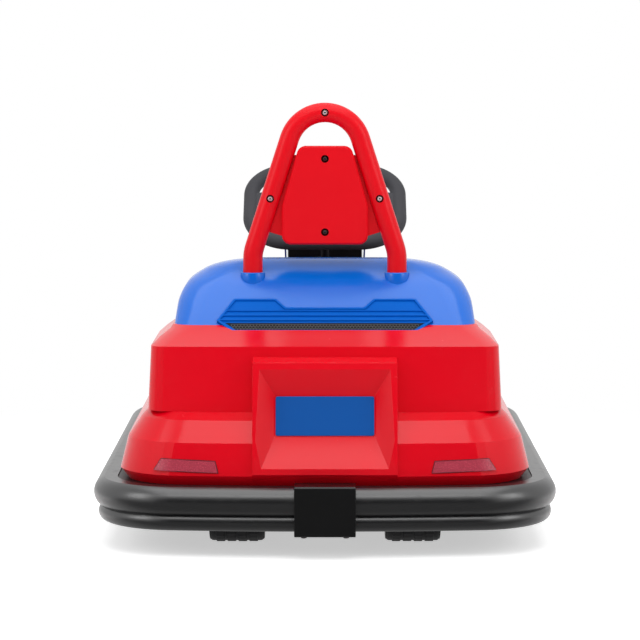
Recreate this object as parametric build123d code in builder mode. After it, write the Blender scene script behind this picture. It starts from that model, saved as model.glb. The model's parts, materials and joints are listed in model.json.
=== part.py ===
from build123d import *
import os
from math import cos, radians, sin, sqrt, tan

# Child's electric ride-on go-kart with a soft bumper ring, in millimetres.
# X points to the driver's right, Y forwards and Z up.
# The origin is on the ground below the middle of the bumper ring.

os.makedirs("parts", exist_ok=True)

# Clearances and walls that several pieces share
FIT = 0.3
RUNNING_FIT = 0.08
WALL = 4.0

# Body plan, measured at the widest line of the red lower tier
BODY_HALF_WIDTH = 308.5
BODY_END = 485.0
BODY_CORNER = 92.0
END_RADIUS = 2200.0
TIER_CORNER = 6.0

# Bumper ring: a large upper lobe and a small lower lobe with a groove between them
BUMPER_GAP = 4.0
BUMPER_BOTTOM = 41.0
GROOVE_Z = 64.0
BUMPER_TOP = 106.0
LOWER_LOBE = (28.5, 51.0)
UPPER_LOBE = (35.8, 82.0)
GROOVE_REACH = 25.0
BOTTOM_REACH = 17.0
TOP_REACH = 20.0
CLIP_WIDTH = 90.0
CLIP_WALL = 4.5
CLIP_ROUNDING = 4.0

# Chassis pan
PAN_BOTTOM = 50.0
PAN_FLOOR = 96.0
PAN_TOP = 104.0
PAN_FLANGE = 20.0
PAN_RIB_DEPTH = 18.0
PAN_RIBS_Y = (-190.0, -70.0, 50.0, 170.0)
WELL_CLEARANCE = 10.0

# Red lower tier, the same at both ends
# Columns: height, inset at the sides, inset at the ends, corner radius, share of the wall the inside drops by
SKIRT_SECTIONS = (
    (PAN_TOP, 11.0, 11.0, 84.0, 0.25),
    (119.0, 0.0, 0.0, 92.0, 0.0),
    (167.0, 12.0, 6.0, 88.0, 0.5),
    (198.5, 33.0, 23.0, 74.0, 1.0),
    (208.5, 42.5, 43.0, 56.0, 1.0),
)
SILL_TOP = SKIRT_SECTIONS[-1][0]
SILL_WIDTH = 72.5

# Red upper tier and blue deck behind the seat
# Columns: height, inset at the sides, inset at the rear, corner radius, bowed rear
TAIL_FRONT = -188.0
TAIL_SECTIONS = (
    (SILL_TOP, 43.5, 45.0, 26.0, True),
    (305.0, 48.5, 61.0, 24.0, False),
    (316.0, 61.0, 96.0, 28.0, False),
    (325.0, 74.0, 120.0, 30.0, False),
    (330.0, 77.5, 134.0, 32.0, False),
)
DECK_BASE = TAIL_SECTIONS[-1][0]
DECK_SECTIONS = (
    (DECK_BASE, 79.5, 136.0, 34.0, False),
    (346.0, 81.0, 153.0, 40.0, False),
    (366.0, 84.5, 176.0, 44.0, False),
    (388.0, 96.5, 203.0, 46.0, False),
    (403.0, 117.0, 226.0, 44.0, False),
    (412.0, 137.0, 243.0, 32.0, False),
    (418.0, 165.0, 258.0, 22.0, False),
    (421.0, 202.0, 270.0, 13.0, False),
)

# Red nose and blue bonnet ahead of the cockpit
# Columns: height, inset at the sides, inset at the front, corner radius, bowed front
NOSE_REAR = 150.0
NOSE_SECTIONS = (
    (SILL_TOP, 43.5, 45.0, 30.0, True),
    (262.0, 48.5, 57.0, 30.0, False),
    (280.0, 59.0, 92.0, 30.0, False),
    (290.0, 71.5, 114.0, 32.0, False),
)
HOOD_BASE = NOSE_SECTIONS[-1][0]
HOOD_SECTIONS = (
    (HOOD_BASE, 74.5, 116.0, 34.0, False),
    (308.0, 78.5, 134.0, 42.0, False),
    (328.0, 87.5, 158.0, 48.0, False),
    (346.0, 105.5, 188.0, 50.0, False),
    (358.0, 135.5, 222.0, 46.0, False),
    (366.0, 183.5, 256.0, 36.0, False),
)
HOOD_TOP = HOOD_SECTIONS[-1][0]
LEG_OPENING_HALF_WIDTH = 210.0
LEG_OPENING_TOP = 276.0

# Raised pad on the tail with a sunken plate
POD_HALF_WIDTH = 107.0
POD_PROUD = 2.5
POD_TOP = (35.0, 284.0)
POD_KNEE = (3.0, 172.0)
POD_FOOT_Z = 122.0
POD_DEPTH = 61.0
RECESS_HALF_WIDTHS = (97.0, 106.0)
RECESS_DROPS = (10.0, 187.0)
RECESS_DEPTH = 24.0
PLATE_HALF_WIDTH = 73.0
PLATE_DROPS = (46.5, 105.5)
PLATE_MARGIN = 1.0
PLATE_THICKNESS = 2.0

# Vent panel on the deck, drawn on its own slope
VENT_SLOPE = 39.3
VENT_FOOT_Z = 322.0
VENT_FOOT_INSET = 119.0
VENT_HALF_WIDTHS = (139.6, 164.0, 138.6, 74.5, 59.3)
VENT_HEIGHTS = (0.0, 23.7, 71.0, 71.0, 52.0)
VENT_LIP = 3.5
VENT_RECESS = 2.5
VENT_DEPTH = 12.0
VENT_RIB_HEIGHTS = (25.3, 35.4, 45.8)
VENT_RIB_WIDTH = 2.6
VENT_SLOT = (4.6, 20.5)
VENT_SLOT_HALF_WIDTHS = (133.0, 151.0)

# Seat hoop
HOOP_Y = -265.0
HOOP_RADIUS = 15.0
HOOP_HALF_WIDTH = 111.0
HOOP_FOOT = 376.0
HOOP_BEND_Z = 434.0
HOOP_LEAN = 17.9
HOOP_ARCH_RADIUS = 57.0
HOOP_BEND_RADIUS = 60.0
BOSS_WALL = 4.0
BOSS_TOP = 404.0
SCREW_HOLE_RADIUS = 6.0
SCREW_HOLE_DEPTH = 5.0
LEG_SCREW_Z = 517.5

# Backrest cover and pad
COVER_TOP = 598.0
COVER_BOTTOM = 447.0
COVER_WAIST_Z = 506.0
COVER_HALF_WIDTHS = (40.0, 66.0)
COVER_REACH = 12.0
COVER_THICKNESS = 22.0
COVER_ROUNDING = 14.0
WING_THICKNESS = 10.0
WING_BOTTOM = (459.0, 470.0)
COVER_SCREWS_Z = (578.5, 466.0)
PAD_THICKNESS = 28.0
PAD_HALF_WIDTHS = (40.0, 86.0, 58.0)
PAD_HEIGHTS = (594.0, 486.0, 454.0)

# Cockpit and seat
COCKPIT_REAR = -184.0
COCKPIT_FRONT = 402.0
COCKPIT_CORNER = 30.0
FOOT_FLOOR = 130.0
SEAT_FRONT = 50.0
SEAT_PLATFORM = 200.0
CUSHION_MARGIN = 5.0
CUSHION_HALF_WIDTH = 190.0
CUSHION_CORNER = 30.0
CUSHION_THICKNESS = 36.0
BACK_PAD_HALF_WIDTH = 165.0
BACK_PAD_THICKNESS = 24.0
BACK_PAD_HEIGHTS = (250.0, 396.0)

# Rear wheels and drive
REAR_WHEEL_RADIUS = 75.0
REAR_WHEEL_WIDTH = 83.0
REAR_WHEEL_X = 133.0
REAR_AXLE_Y = -350.0
AXLE_RADIUS = 6.0
HANGER_GAP = 11.0
HANGER_WALL = 6.0
GEARBOX_GAP = 4.0
GEARBOX_WIDTH = 53.5
GEARBOX_BOTTOM = 52.0
GEARBOX_FRONT = 92.0
GEARBOX_RADIUS = 23.0

# Front wheels and steering
FRONT_WHEEL_RADIUS = 60.0
FRONT_WHEEL_WIDTH = 50.0
FRONT_WHEEL_X = 152.0
FRONT_AXLE_Y = 340.0
WHEEL_SHOULDER = 6.0
WHEEL_HUB_RADIUS = 17.0
WHEEL_RIM_WALL = 14.0
WHEEL_DISH = 9.0
WHEEL_SPOKES = 5
WHEEL_SPOKE_WIDTH = 9.0
KINGPIN_X = 110.0
KINGPIN_RADIUS = 5.0
BARREL_RADIUS = 11.0
BARREL_BOTTOM = 44.0
BEAM_THICKNESS = 10.0
BEAM_WIDTH = 18.0
KINGPIN_HEAD = 5.0
ARM_WIDTH = 15.0
STUB_NUT = 4.0
STEER_ARM = 52.0
STEER_LOCK = 24.5
PIN_RADIUS = 4.0
PIN_REACH = 10.0
PIN_SLOT_SIZE = (12.0, 32.0)
SLOT_PLATE_SIZE = (34.0, 50.0)
CRANK = 36.0
TIE_ROD_BOTTOM = 53.5
TIE_ROD_THICKNESS = 5.0
TIE_ROD_WIDTH = 12.0
COLUMN_LEAN = 36.0
COLUMN_RADIUS = 7.0
COLUMN_CLEARANCE = 3.0
CRANK_RISE = 13.0
CRANK_THICKNESS = 6.0
STEERING_WHEEL_Z = 490.0
RIM_HALF_WIDTH = 121.0
RIM_HALF_HEIGHT = 93.0
RIM_CORNER = 64.0
RIM_SECTION = (12.5, 11.0)
HUB_SIZE = (110.0, 84.0)
HUB_CORNER = 20.0
HUB_DROP = 12.0
HUB_THICKNESS = 20.0
HUB_SOCKET = 10.0
SPOKE_EDGES = (38.0, 24.0, -22.0, -34.0)
SPOKE_SLITS = (8.0, -6.0)
SPOKE_SLIT_X = 83.0
SPOKE_SLIT_SIZE = (34.0, 4.0)
HUB_CAP_SIZE = (84.0, 60.0)
HUB_CAP_CORNER = 14.0
HUB_CAP_THICKNESS = 8.0
HUB_CAP_ROUNDING = 3.0

# Dash block and windscreen
DASH_HALF_WIDTH = 62.0
DASH_TOP = 417.0
DASH_REAR = 98.0
DASH_STEP = 34.0
SCREEN_HALF_WIDTHS = (64.0, 68.0)
SCREEN_TOP = 416.0
SCREEN_THICKNESS = 3.0
SCREEN_SETBACK = 50.0

# Grille, headlights and reflectors, drawn on the end faces
# Corner points: across, up
LENS_THICKNESS = 2.0
LENS_SEAT = 0.1
GRILLE_Z = 234.0
GRILLE_SIZE = (190.0, 40.0)
GRILLE_CORNER = 8.0
GRILLE_SLOTS = 3
GRILLE_PITCH = 11.0
GRILLE_SLOT = 5.0
HEADLIGHT_POINTS = ((138.0, 218.0), (214.0, 226.0), (216.0, 252.0), (132.0, 246.0))
HEADLIGHT_ROUNDING = 9.0
REFLECTOR_POINTS = ((162.0, 141.0), (242.0, 143.5), (253.0, 126.5), (157.5, 123.5))
REFLECTOR_PROUD = 1.2

# Battery and pedal
BATTERY_Y = -70.0
BATTERY_SIZE = (152.0, 66.0, 94.0)
BATTERY_ROUNDING = 3.0
PEDAL_X = 90.0
PEDAL_REAR = 250.0
PEDAL_LENGTH = 80.0
PEDAL_WIDTH = 60.0
PEDAL_HEIGHT = 30.0
PEDAL_TOE = 8.0

# Sizes that follow from the ones above
body_rear = -BODY_END
bumper_half_width = BODY_HALF_WIDTH + BUMPER_GAP
bumper_end = BODY_END + BUMPER_GAP
bumper_corner = BODY_CORNER + BUMPER_GAP
cockpit_half_width = BODY_HALF_WIDTH - SILL_WIDTH
cockpit_length = COCKPIT_FRONT - COCKPIT_REAR
cockpit_middle = (COCKPIT_FRONT + COCKPIT_REAR) / 2
hanger_x = REAR_WHEEL_X + REAR_WHEEL_WIDTH / 2 + HANGER_GAP
beam_bottom = PAN_FLOOR - BEAM_THICKNESS
tie_rod_y = FRONT_AXLE_Y - STEER_ARM
tie_rod_middle = TIE_ROD_BOTTOM + TIE_ROD_THICKNESS / 2
lean_cos = cos(radians(COLUMN_LEAN))
lean_sin = sin(radians(COLUMN_LEAN))

# The column's own frame: origin on its axis level with the crank pin, z up the column to the driver
column_plane = Plane(
    origin=(0, tie_rod_y + CRANK * lean_cos, tie_rod_middle + CRANK * lean_sin),
    x_dir=(1, 0, 0),
    z_dir=(0, -lean_sin, lean_cos),
)
wheel_rise = (STEERING_WHEEL_Z - column_plane.origin.Z) / lean_cos


def end_bow(half_width):
    """How far a gently bowed end falls back at its sides."""
    return END_RADIUS - sqrt(END_RADIUS**2 - half_width**2)


def plan_outline(half_width, rear, front, rear_corner, front_corner, rear_bowed, front_bowed):
    """Plan face with straight sides, rounded corners and straight or bowed ends."""
    rear_side = rear + (end_bow(half_width) if rear_bowed else 0.0)
    front_side = front - (end_bow(half_width) if front_bowed else 0.0)
    with BuildSketch() as outline:
        with BuildLine():
            Line((half_width, rear_side), (half_width, front_side))
            if front_bowed:
                ThreePointArc((half_width, front_side), (0, front), (-half_width, front_side))
            else:
                Line((half_width, front_side), (-half_width, front_side))
            Line((-half_width, front_side), (-half_width, rear_side))
            if rear_bowed:
                ThreePointArc((-half_width, rear_side), (0, rear), (half_width, rear_side))
            else:
                Line((-half_width, rear_side), (half_width, rear_side))
        make_face()
        fillet(outline.vertices().group_by(Axis.Y)[0], rear_corner)
        fillet(outline.vertices().group_by(Axis.Y)[-1], front_corner)
    return outline.sketch


def ring_outline(half_width, end, corner):
    """Plan face with the same bowed end and corners at the front and rear."""
    return plan_outline(half_width, -end, end, corner, corner, True, True)


def skirt_solid(inset):
    """Lower tier as a solid, shrunk by the inset."""
    with BuildPart() as tier:
        for height, side, end, corner, drop in SKIRT_SECTIONS:
            with BuildSketch(Plane.XY.offset(height - drop * inset)):
                add(ring_outline(BODY_HALF_WIDTH - side - inset, BODY_END - end - inset, corner - inset))
        loft(ruled=True)
    return tier.part


def rear_tier(sections, inset):
    """Tier behind the seat with a flat front, shrunk by the inset and dropped by it."""
    with BuildPart() as tier:
        for height, side, end, corner, bowed in sections:
            with BuildSketch(Plane.XY.offset(height - inset)):
                add(plan_outline(BODY_HALF_WIDTH - side - inset, end - BODY_END + inset,
                                 TAIL_FRONT - inset, corner - inset, TIER_CORNER, bowed, False))
        loft(ruled=True)
    return tier.part


def front_tier(sections, inset):
    """Tier ahead of the cockpit with a flat rear, shrunk by the inset and dropped by it."""
    with BuildPart() as tier:
        for height, side, end, corner, bowed in sections:
            with BuildSketch(Plane.XY.offset(height - inset)):
                add(plan_outline(BODY_HALF_WIDTH - side - inset, NOSE_REAR + inset,
                                 BODY_END - end - inset, TIER_CORNER, corner - inset, False, bowed))
        loft(ruled=True)
    return tier.part


def prism(plane, points, start, depth):
    """Straight prism on a plane's outline, from the start height over the depth."""
    with BuildPart() as block:
        with BuildSketch(plane.offset(start)):
            Polygon(*points, align=None)
        extrude(amount=depth)
    return block.part


def both_sides(points):
    """Right-hand points of an outline, followed by their mirror images in turn."""
    return list(points) + [(-across, up) for across, up in reversed(points)]


def save(piece, label):
    """Labels a finished piece and writes it as a STEP file."""
    piece.label = label
    export_step(piece, f"parts/{label}.step")


# Bumper ring: one half sweeps from the middle of the rear to the middle of the front
bow_centre = END_RADIUS - bumper_end
corner_x = bumper_half_width - bumper_corner
corner_y = bow_centre - sqrt((END_RADIUS - bumper_corner) ** 2 - corner_x**2)
bow_scale = END_RADIUS / (END_RADIUS - bumper_corner)
tangent_x = corner_x * bow_scale
tangent_y = bow_centre + (corner_y - bow_centre) * bow_scale

with BuildLine() as bumper_path:
    rear_bow = TangentArc((0, -bumper_end), (tangent_x, tangent_y), tangent=(1, 0))
    rear_turn = TangentArc(rear_bow @ 1, (bumper_half_width, corner_y), tangent=rear_bow % 1)
    long_side = Line(rear_turn @ 1, (bumper_half_width, -corner_y))
    front_turn = TangentArc(long_side @ 1, (tangent_x, -tangent_y), tangent=long_side % 1)
    front_bow = TangentArc(front_turn @ 1, (0, bumper_end), tangent=front_turn % 1)

with BuildPart() as bumper_right:
    with BuildSketch(Plane(origin=(0, -bumper_end, 0), x_dir=(0, -1, 0), z_dir=(-1, 0, 0))):
        with BuildLine():
            lower_arc = ThreePointArc((BOTTOM_REACH, BUMPER_BOTTOM), LOWER_LOBE, (GROOVE_REACH, GROOVE_Z))
            upper_arc = ThreePointArc(lower_arc @ 1, UPPER_LOBE, (TOP_REACH, BUMPER_TOP))
            Polyline(upper_arc @ 1, (0, BUMPER_TOP), (0, BUMPER_BOTTOM), lower_arc @ 0)
        make_face()
    sweep(path=bumper_path.wire())
with BuildPart() as bumper_left:
    add(mirror(bumper_right.part, about=Plane.YZ))
save(bumper_right.part, "bumper_right")
save(bumper_left.part, "bumper_left")

# Clips over the two joints of the bumper
clip_inside = UPPER_LOBE[0] + FIT
clip_outside = clip_inside + CLIP_WALL
bumper_middle = (BUMPER_TOP + BUMPER_BOTTOM) / 2
bumper_height = BUMPER_TOP - BUMPER_BOTTOM
with BuildPart() as bumper_clip_rear:
    with BuildSketch(Plane.YZ.offset(-CLIP_WIDTH / 2)):
        with Locations((-bumper_end - clip_outside / 2, bumper_middle)):
            Rectangle(clip_outside, bumper_height + 2 * (FIT + CLIP_WALL))
        with Locations((-bumper_end - clip_inside / 2, bumper_middle)):
            Rectangle(clip_inside, bumper_height + 2 * FIT, mode=Mode.SUBTRACT)
    extrude(amount=CLIP_WIDTH)
    fillet(bumper_clip_rear.edges().filter_by(Axis.X).group_by(Axis.Y)[0], CLIP_ROUNDING)
with BuildPart() as bumper_clip_front:
    add(mirror(bumper_clip_rear.part, about=Plane.XZ))
save(bumper_clip_rear.part, "bumper_clip_rear")
save(bumper_clip_front.part, "bumper_clip_front")

# Chassis pan: a floor with a rim inside the bumper, ribs below and openings for the wheels
pan_half_width = bumper_half_width - FIT
pan_end = bumper_end - FIT
pan_corner = bumper_corner - FIT
rear_well = (REAR_WHEEL_WIDTH + WELL_CLEARANCE, 2 * (REAR_WHEEL_RADIUS + WELL_CLEARANCE))
lock_cos = cos(radians(STEER_LOCK))
lock_sin = sin(radians(STEER_LOCK))
wheel_reach = FRONT_WHEEL_X + FRONT_WHEEL_WIDTH / 2 - KINGPIN_X
front_well_inner = KINGPIN_X - 2 * BARREL_RADIUS
front_well_outer = KINGPIN_X + wheel_reach * lock_cos + FRONT_WHEEL_RADIUS * lock_sin + WELL_CLEARANCE
front_well_half = FRONT_WHEEL_RADIUS * lock_cos + wheel_reach * lock_sin + WELL_CLEARANCE
front_well_middle = (front_well_inner + front_well_outer) / 2

with BuildPart() as chassis_pan:
    with BuildSketch(Plane.XY.offset(PAN_BOTTOM)):
        add(ring_outline(pan_half_width, pan_end, pan_corner))
        add(ring_outline(pan_half_width - WALL, pan_end - WALL, pan_corner - WALL), mode=Mode.SUBTRACT)
    extrude(amount=PAN_TOP - PAN_BOTTOM)
    with BuildSketch(Plane.XY.offset(PAN_FLOOR)):
        add(ring_outline(pan_half_width, pan_end, pan_corner))
    extrude(amount=WALL)
    with BuildSketch(Plane.XY.offset(PAN_FLOOR)):
        add(ring_outline(pan_half_width, pan_end, pan_corner))
        add(ring_outline(pan_half_width - PAN_FLANGE, pan_end - PAN_FLANGE, pan_corner - PAN_FLANGE),
            mode=Mode.SUBTRACT)
    extrude(amount=PAN_TOP - PAN_FLOOR)
    with BuildSketch(Plane.XY.offset(PAN_FLOOR - PAN_RIB_DEPTH)):
        for rib_y in PAN_RIBS_Y:
            with Locations((0, rib_y)):
                Rectangle(2 * (pan_half_width - WALL / 2), WALL)
    extrude(amount=PAN_RIB_DEPTH)
    with BuildSketch(Plane.XY.offset(PAN_FLOOR)):
        with Locations((REAR_WHEEL_X, REAR_AXLE_Y), (-REAR_WHEEL_X, REAR_AXLE_Y)):
            RectangleRounded(*rear_well, WELL_CLEARANCE)
        with Locations((front_well_middle, FRONT_AXLE_Y), (-front_well_middle, FRONT_AXLE_Y)):
            RectangleRounded(front_well_outer - front_well_inner, 2 * front_well_half, WELL_CLEARANCE)
        with Locations((0, tie_rod_y + CRANK / 2)):
            RectangleRounded(44, 52, 6)
    extrude(amount=WALL, mode=Mode.SUBTRACT)
    # Hangers that carry the ends of the rear axle
    for hanger_start in (hanger_x, -hanger_x - HANGER_WALL):
        with BuildSketch(Plane.YZ.offset(hanger_start)):
            with Locations((REAR_AXLE_Y, (PAN_FLOOR + REAR_WHEEL_RADIUS) / 2)):
                Rectangle(6 * AXLE_RADIUS, PAN_FLOOR - REAR_WHEEL_RADIUS)
            with Locations((REAR_AXLE_Y, REAR_WHEEL_RADIUS)):
                Circle(3 * AXLE_RADIUS)
                Circle(AXLE_RADIUS + RUNNING_FIT, mode=Mode.SUBTRACT)
        extrude(amount=HANGER_WALL)
save(chassis_pan.part, "chassis_pan")

# Envelope of the raised pad on the tail: it stands proud of the lower tier and leans forwards above the knee
pod_face_y = body_rear - POD_PROUD
pod_top = (pod_face_y + POD_TOP[0], POD_TOP[1])
pod_knee = (pod_face_y + POD_KNEE[0], POD_KNEE[1])
pod_foot = (pod_face_y, POD_FOOT_Z)
pod_back = body_rear + POD_DEPTH
pod_outline = [
    (pod_back, pod_top[1] + 6),
    pod_top,
    pod_knee,
    pod_foot,
    (pod_foot[0] + 12, POD_FOOT_Z - 12),
    (pod_back, POD_FOOT_Z - 12),
]
with BuildPart() as pod_envelope:
    with BuildSketch(Plane.YZ):
        Polygon(*pod_outline, align=None)
    extrude(amount=POD_HALF_WIDTH, both=True)

pod_run = sqrt((pod_top[0] - pod_knee[0]) ** 2 + (pod_top[1] - pod_knee[1]) ** 2)
pod_up = (0, (pod_top[0] - pod_knee[0]) / pod_run, (pod_top[1] - pod_knee[1]) / pod_run)
pod_normal = (0, -pod_up[2], pod_up[1])
recess_plane = Plane(origin=(0, *pod_top), x_dir=(1, 0, 0), z_dir=pod_normal)
plate_height = PLATE_DROPS[1] - PLATE_DROPS[0]
plate_middle_drop = (PLATE_DROPS[0] + PLATE_DROPS[1]) / 2
with BuildPart() as plate_pod:
    add(pod_envelope.part)
    with BuildSketch(recess_plane):
        Polygon(*both_sides([
            (RECESS_HALF_WIDTHS[0], -RECESS_DROPS[0]),
            (RECESS_HALF_WIDTHS[1], -RECESS_DROPS[1]),
        ]), align=None)
    with BuildSketch(recess_plane.offset(-RECESS_DEPTH)):
        Polygon(*both_sides([
            (PLATE_HALF_WIDTH + PLATE_MARGIN, PLATE_MARGIN - PLATE_DROPS[0]),
            (PLATE_HALF_WIDTH + PLATE_MARGIN, -PLATE_MARGIN - PLATE_DROPS[1]),
        ]), align=None)
    loft(ruled=True, mode=Mode.SUBTRACT)
save(plate_pod.part, "plate_pod")

with BuildPart() as tail_plate:
    with BuildSketch(recess_plane.offset(-RECESS_DEPTH)):
        with Locations((0, -plate_middle_drop)):
            RectangleRounded(2 * PLATE_HALF_WIDTH, plate_height, 3)
    extrude(amount=PLATE_THICKNESS)
save(tail_plate.part, "tail_plate")

# Lower tier: a shell all round, open over the cockpit and footwell
with BuildPart() as body_skirt:
    add(skirt_solid(0.0))
    add(skirt_solid(WALL), mode=Mode.SUBTRACT)
    with BuildSketch(Plane.XY.offset(SILL_TOP - 2 * WALL)):
        with Locations((0, cockpit_middle)):
            RectangleRounded(2 * cockpit_half_width, cockpit_length + 2 * FIT, COCKPIT_CORNER)
    extrude(amount=4 * WALL, mode=Mode.SUBTRACT)
    add(pod_envelope.part, mode=Mode.SUBTRACT)
save(body_skirt.part, "body_skirt")

# Vent panel: a framed plate with ribs and a slot, let into the deck and the shoulder below it
vent_cos = cos(radians(VENT_SLOPE))
vent_sin = sin(radians(VENT_SLOPE))
vent_plane = Plane(
    origin=(0, body_rear + VENT_FOOT_INSET, VENT_FOOT_Z),
    x_dir=(1, 0, 0),
    z_dir=(0, -vent_sin, vent_cos),
)
vent_outline = both_sides(list(zip(VENT_HALF_WIDTHS, VENT_HEIGHTS)))
slot_outline = both_sides(list(zip(VENT_SLOT_HALF_WIDTHS, VENT_SLOT)))
vent_envelope = prism(vent_plane, vent_outline, -VENT_DEPTH, VENT_DEPTH + 40)
with BuildPart() as vent_panel:
    with BuildSketch(vent_plane.offset(-VENT_DEPTH)) as vent_shape:
        Polygon(*vent_outline, align=None)
    extrude(amount=VENT_DEPTH)
    with BuildSketch(vent_plane.offset(-VENT_RECESS)):
        Polygon(*vent_outline, align=None)
        offset(amount=-VENT_LIP)
    extrude(amount=VENT_RECESS, mode=Mode.SUBTRACT)
    with BuildSketch(vent_plane.offset(-VENT_RECESS)):
        for rib_height in VENT_RIB_HEIGHTS:
            with Locations((0, rib_height)):
                Rectangle(2 * VENT_HALF_WIDTHS[1], VENT_RIB_WIDTH)
        with BuildSketch(mode=Mode.INTERSECT):
            Polygon(*vent_outline, align=None)
    extrude(amount=VENT_RECESS)
    with BuildSketch(vent_plane.offset(-VENT_DEPTH)):
        Polygon(*slot_outline, align=None)
    extrude(amount=VENT_DEPTH, mode=Mode.SUBTRACT)
save(vent_panel.part, "vent_panel")

with BuildPart() as vent_mesh:
    with BuildSketch(vent_plane.offset(-2 * VENT_RECESS)):
        Polygon(*slot_outline, align=None)
        offset(amount=-RUNNING_FIT)
    extrude(amount=VENT_RECESS)
save(vent_mesh.part, "vent_mesh")

# Upper tier at the rear
with BuildPart() as tail_body:
    add(rear_tier(TAIL_SECTIONS, 0.0))
    add(rear_tier(TAIL_SECTIONS, WALL), mode=Mode.SUBTRACT)
    add(pod_envelope.part, mode=Mode.SUBTRACT)
    add(vent_envelope, mode=Mode.SUBTRACT)
save(tail_body.part, "tail_body")

# Rear deck with the two sockets of the hoop
boss_radius = HOOP_RADIUS + BOSS_WALL
with BuildPart() as tail_deck:
    add(rear_tier(DECK_SECTIONS, 0.0))
    add(rear_tier(DECK_SECTIONS, WALL), mode=Mode.SUBTRACT)
    add(vent_envelope, mode=Mode.SUBTRACT)
    with BuildSketch(Plane.XY.offset(HOOP_FOOT - WALL)):
        with Locations((HOOP_HALF_WIDTH, HOOP_Y), (-HOOP_HALF_WIDTH, HOOP_Y)):
            Circle(boss_radius)
    extrude(amount=BOSS_TOP - HOOP_FOOT + WALL)
    with BuildSketch(Plane.XY.offset(HOOP_FOOT)):
        with Locations((HOOP_HALF_WIDTH, HOOP_Y), (-HOOP_HALF_WIDTH, HOOP_Y)):
            Circle(HOOP_RADIUS + FIT)
    extrude(amount=DECK_SECTIONS[-1][0] - HOOP_FOOT, mode=Mode.SUBTRACT)
save(tail_deck.part, "tail_deck")

# Hoop behind the seat
hoop_tan = tan(radians(HOOP_LEAN))
hoop_peak = HOOP_BEND_Z + HOOP_HALF_WIDTH / hoop_tan
hoop_plane = Plane(origin=(0, HOOP_Y, 0), x_dir=(1, 0, 0), z_dir=(0, -1, 0))
arch_top = hoop_peak - HOOP_ARCH_RADIUS / sin(radians(HOOP_LEAN)) + HOOP_ARCH_RADIUS


def leg_centre(height):
    """Distance of a leaning leg's centre from the middle at a height."""
    return (hoop_peak - height) * hoop_tan


def hoop_tube(radius):
    """The bent tube of the hoop at a radius."""
    with BuildPart() as tube:
        with BuildLine(hoop_plane) as bend_line:
            FilletPolyline(
                (-HOOP_HALF_WIDTH, HOOP_FOOT),
                (-HOOP_HALF_WIDTH, HOOP_BEND_Z),
                (0, hoop_peak),
                (HOOP_HALF_WIDTH, HOOP_BEND_Z),
                (HOOP_HALF_WIDTH, HOOP_FOOT),
                radius=[HOOP_BEND_RADIUS, HOOP_ARCH_RADIUS, HOOP_BEND_RADIUS],
            )
        with BuildSketch(Plane(origin=(-HOOP_HALF_WIDTH, HOOP_Y, HOOP_FOOT), z_dir=(0, 0, 1))):
            Circle(radius)
        sweep(path=bend_line.wire())
    return tube.part


screw_face = HOOP_Y - HOOP_RADIUS
screw_plane = Plane(origin=(0, screw_face, 0), x_dir=(1, 0, 0), z_dir=(0, -1, 0))
leg_screw_x = leg_centre(LEG_SCREW_Z)
with BuildPart() as seat_hoop:
    add(hoop_tube(HOOP_RADIUS))
    with BuildSketch(screw_plane.offset(-SCREW_HOLE_DEPTH)):
        with Locations((leg_screw_x, LEG_SCREW_Z), (-leg_screw_x, LEG_SCREW_Z), (0, arch_top)):
            Circle(SCREW_HOLE_RADIUS)
    extrude(amount=SCREW_HOLE_DEPTH, mode=Mode.SUBTRACT)
save(seat_hoop.part, "seat_hoop")

# Rear cover of the backrest: a raised panel on wings that reach the legs
cover_rear = HOOP_Y - COVER_REACH
cover_plane = Plane(origin=(0, cover_rear, 0), x_dir=(1, 0, 0), z_dir=(0, -1, 0))
clear_tube = hoop_tube(HOOP_RADIUS + FIT)
with BuildPart() as backrest_cover:
    with BuildSketch(cover_plane.offset(-COVER_THICKNESS)) as panel_face:
        Polygon(*both_sides([
            (COVER_HALF_WIDTHS[0], COVER_TOP),
            (COVER_HALF_WIDTHS[1], COVER_WAIST_Z),
            (COVER_HALF_WIDTHS[1], COVER_BOTTOM),
        ]), align=None)
        fillet(panel_face.vertices(), COVER_ROUNDING)
    extrude(amount=COVER_THICKNESS)
    chamfer(backrest_cover.faces().sort_by(Axis.Y)[0].edges(), 2.5)
    with BuildSketch(cover_plane.offset(-COVER_THICKNESS)):
        Polygon(*both_sides([
            (leg_centre(COVER_TOP - 14), COVER_TOP - 14),
            (leg_centre(WING_BOTTOM[1]), WING_BOTTOM[1]),
            (COVER_HALF_WIDTHS[1] - 2, WING_BOTTOM[0]),
        ]), align=None)
    extrude(amount=WING_THICKNESS)
    with BuildSketch(cover_plane.offset(-SCREW_HOLE_DEPTH)):
        for screw_z in COVER_SCREWS_Z:
            with Locations((0, screw_z)):
                Circle(SCREW_HOLE_RADIUS)
    extrude(amount=SCREW_HOLE_DEPTH, mode=Mode.SUBTRACT)
    add(clear_tube, mode=Mode.SUBTRACT)
save(backrest_cover.part, "backrest_cover")

# Front pad of the backrest
with BuildPart() as backrest_pad:
    with BuildSketch(cover_plane.offset(-COVER_THICKNESS - FIT - PAD_THICKNESS)) as pad_face:
        Polygon(*both_sides(list(zip(PAD_HALF_WIDTHS, PAD_HEIGHTS))), align=None)
        fillet(pad_face.vertices(), COVER_ROUNDING)
    extrude(amount=PAD_THICKNESS)
    add(clear_tube, mode=Mode.SUBTRACT)
save(backrest_pad.part, "backrest_pad")

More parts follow.
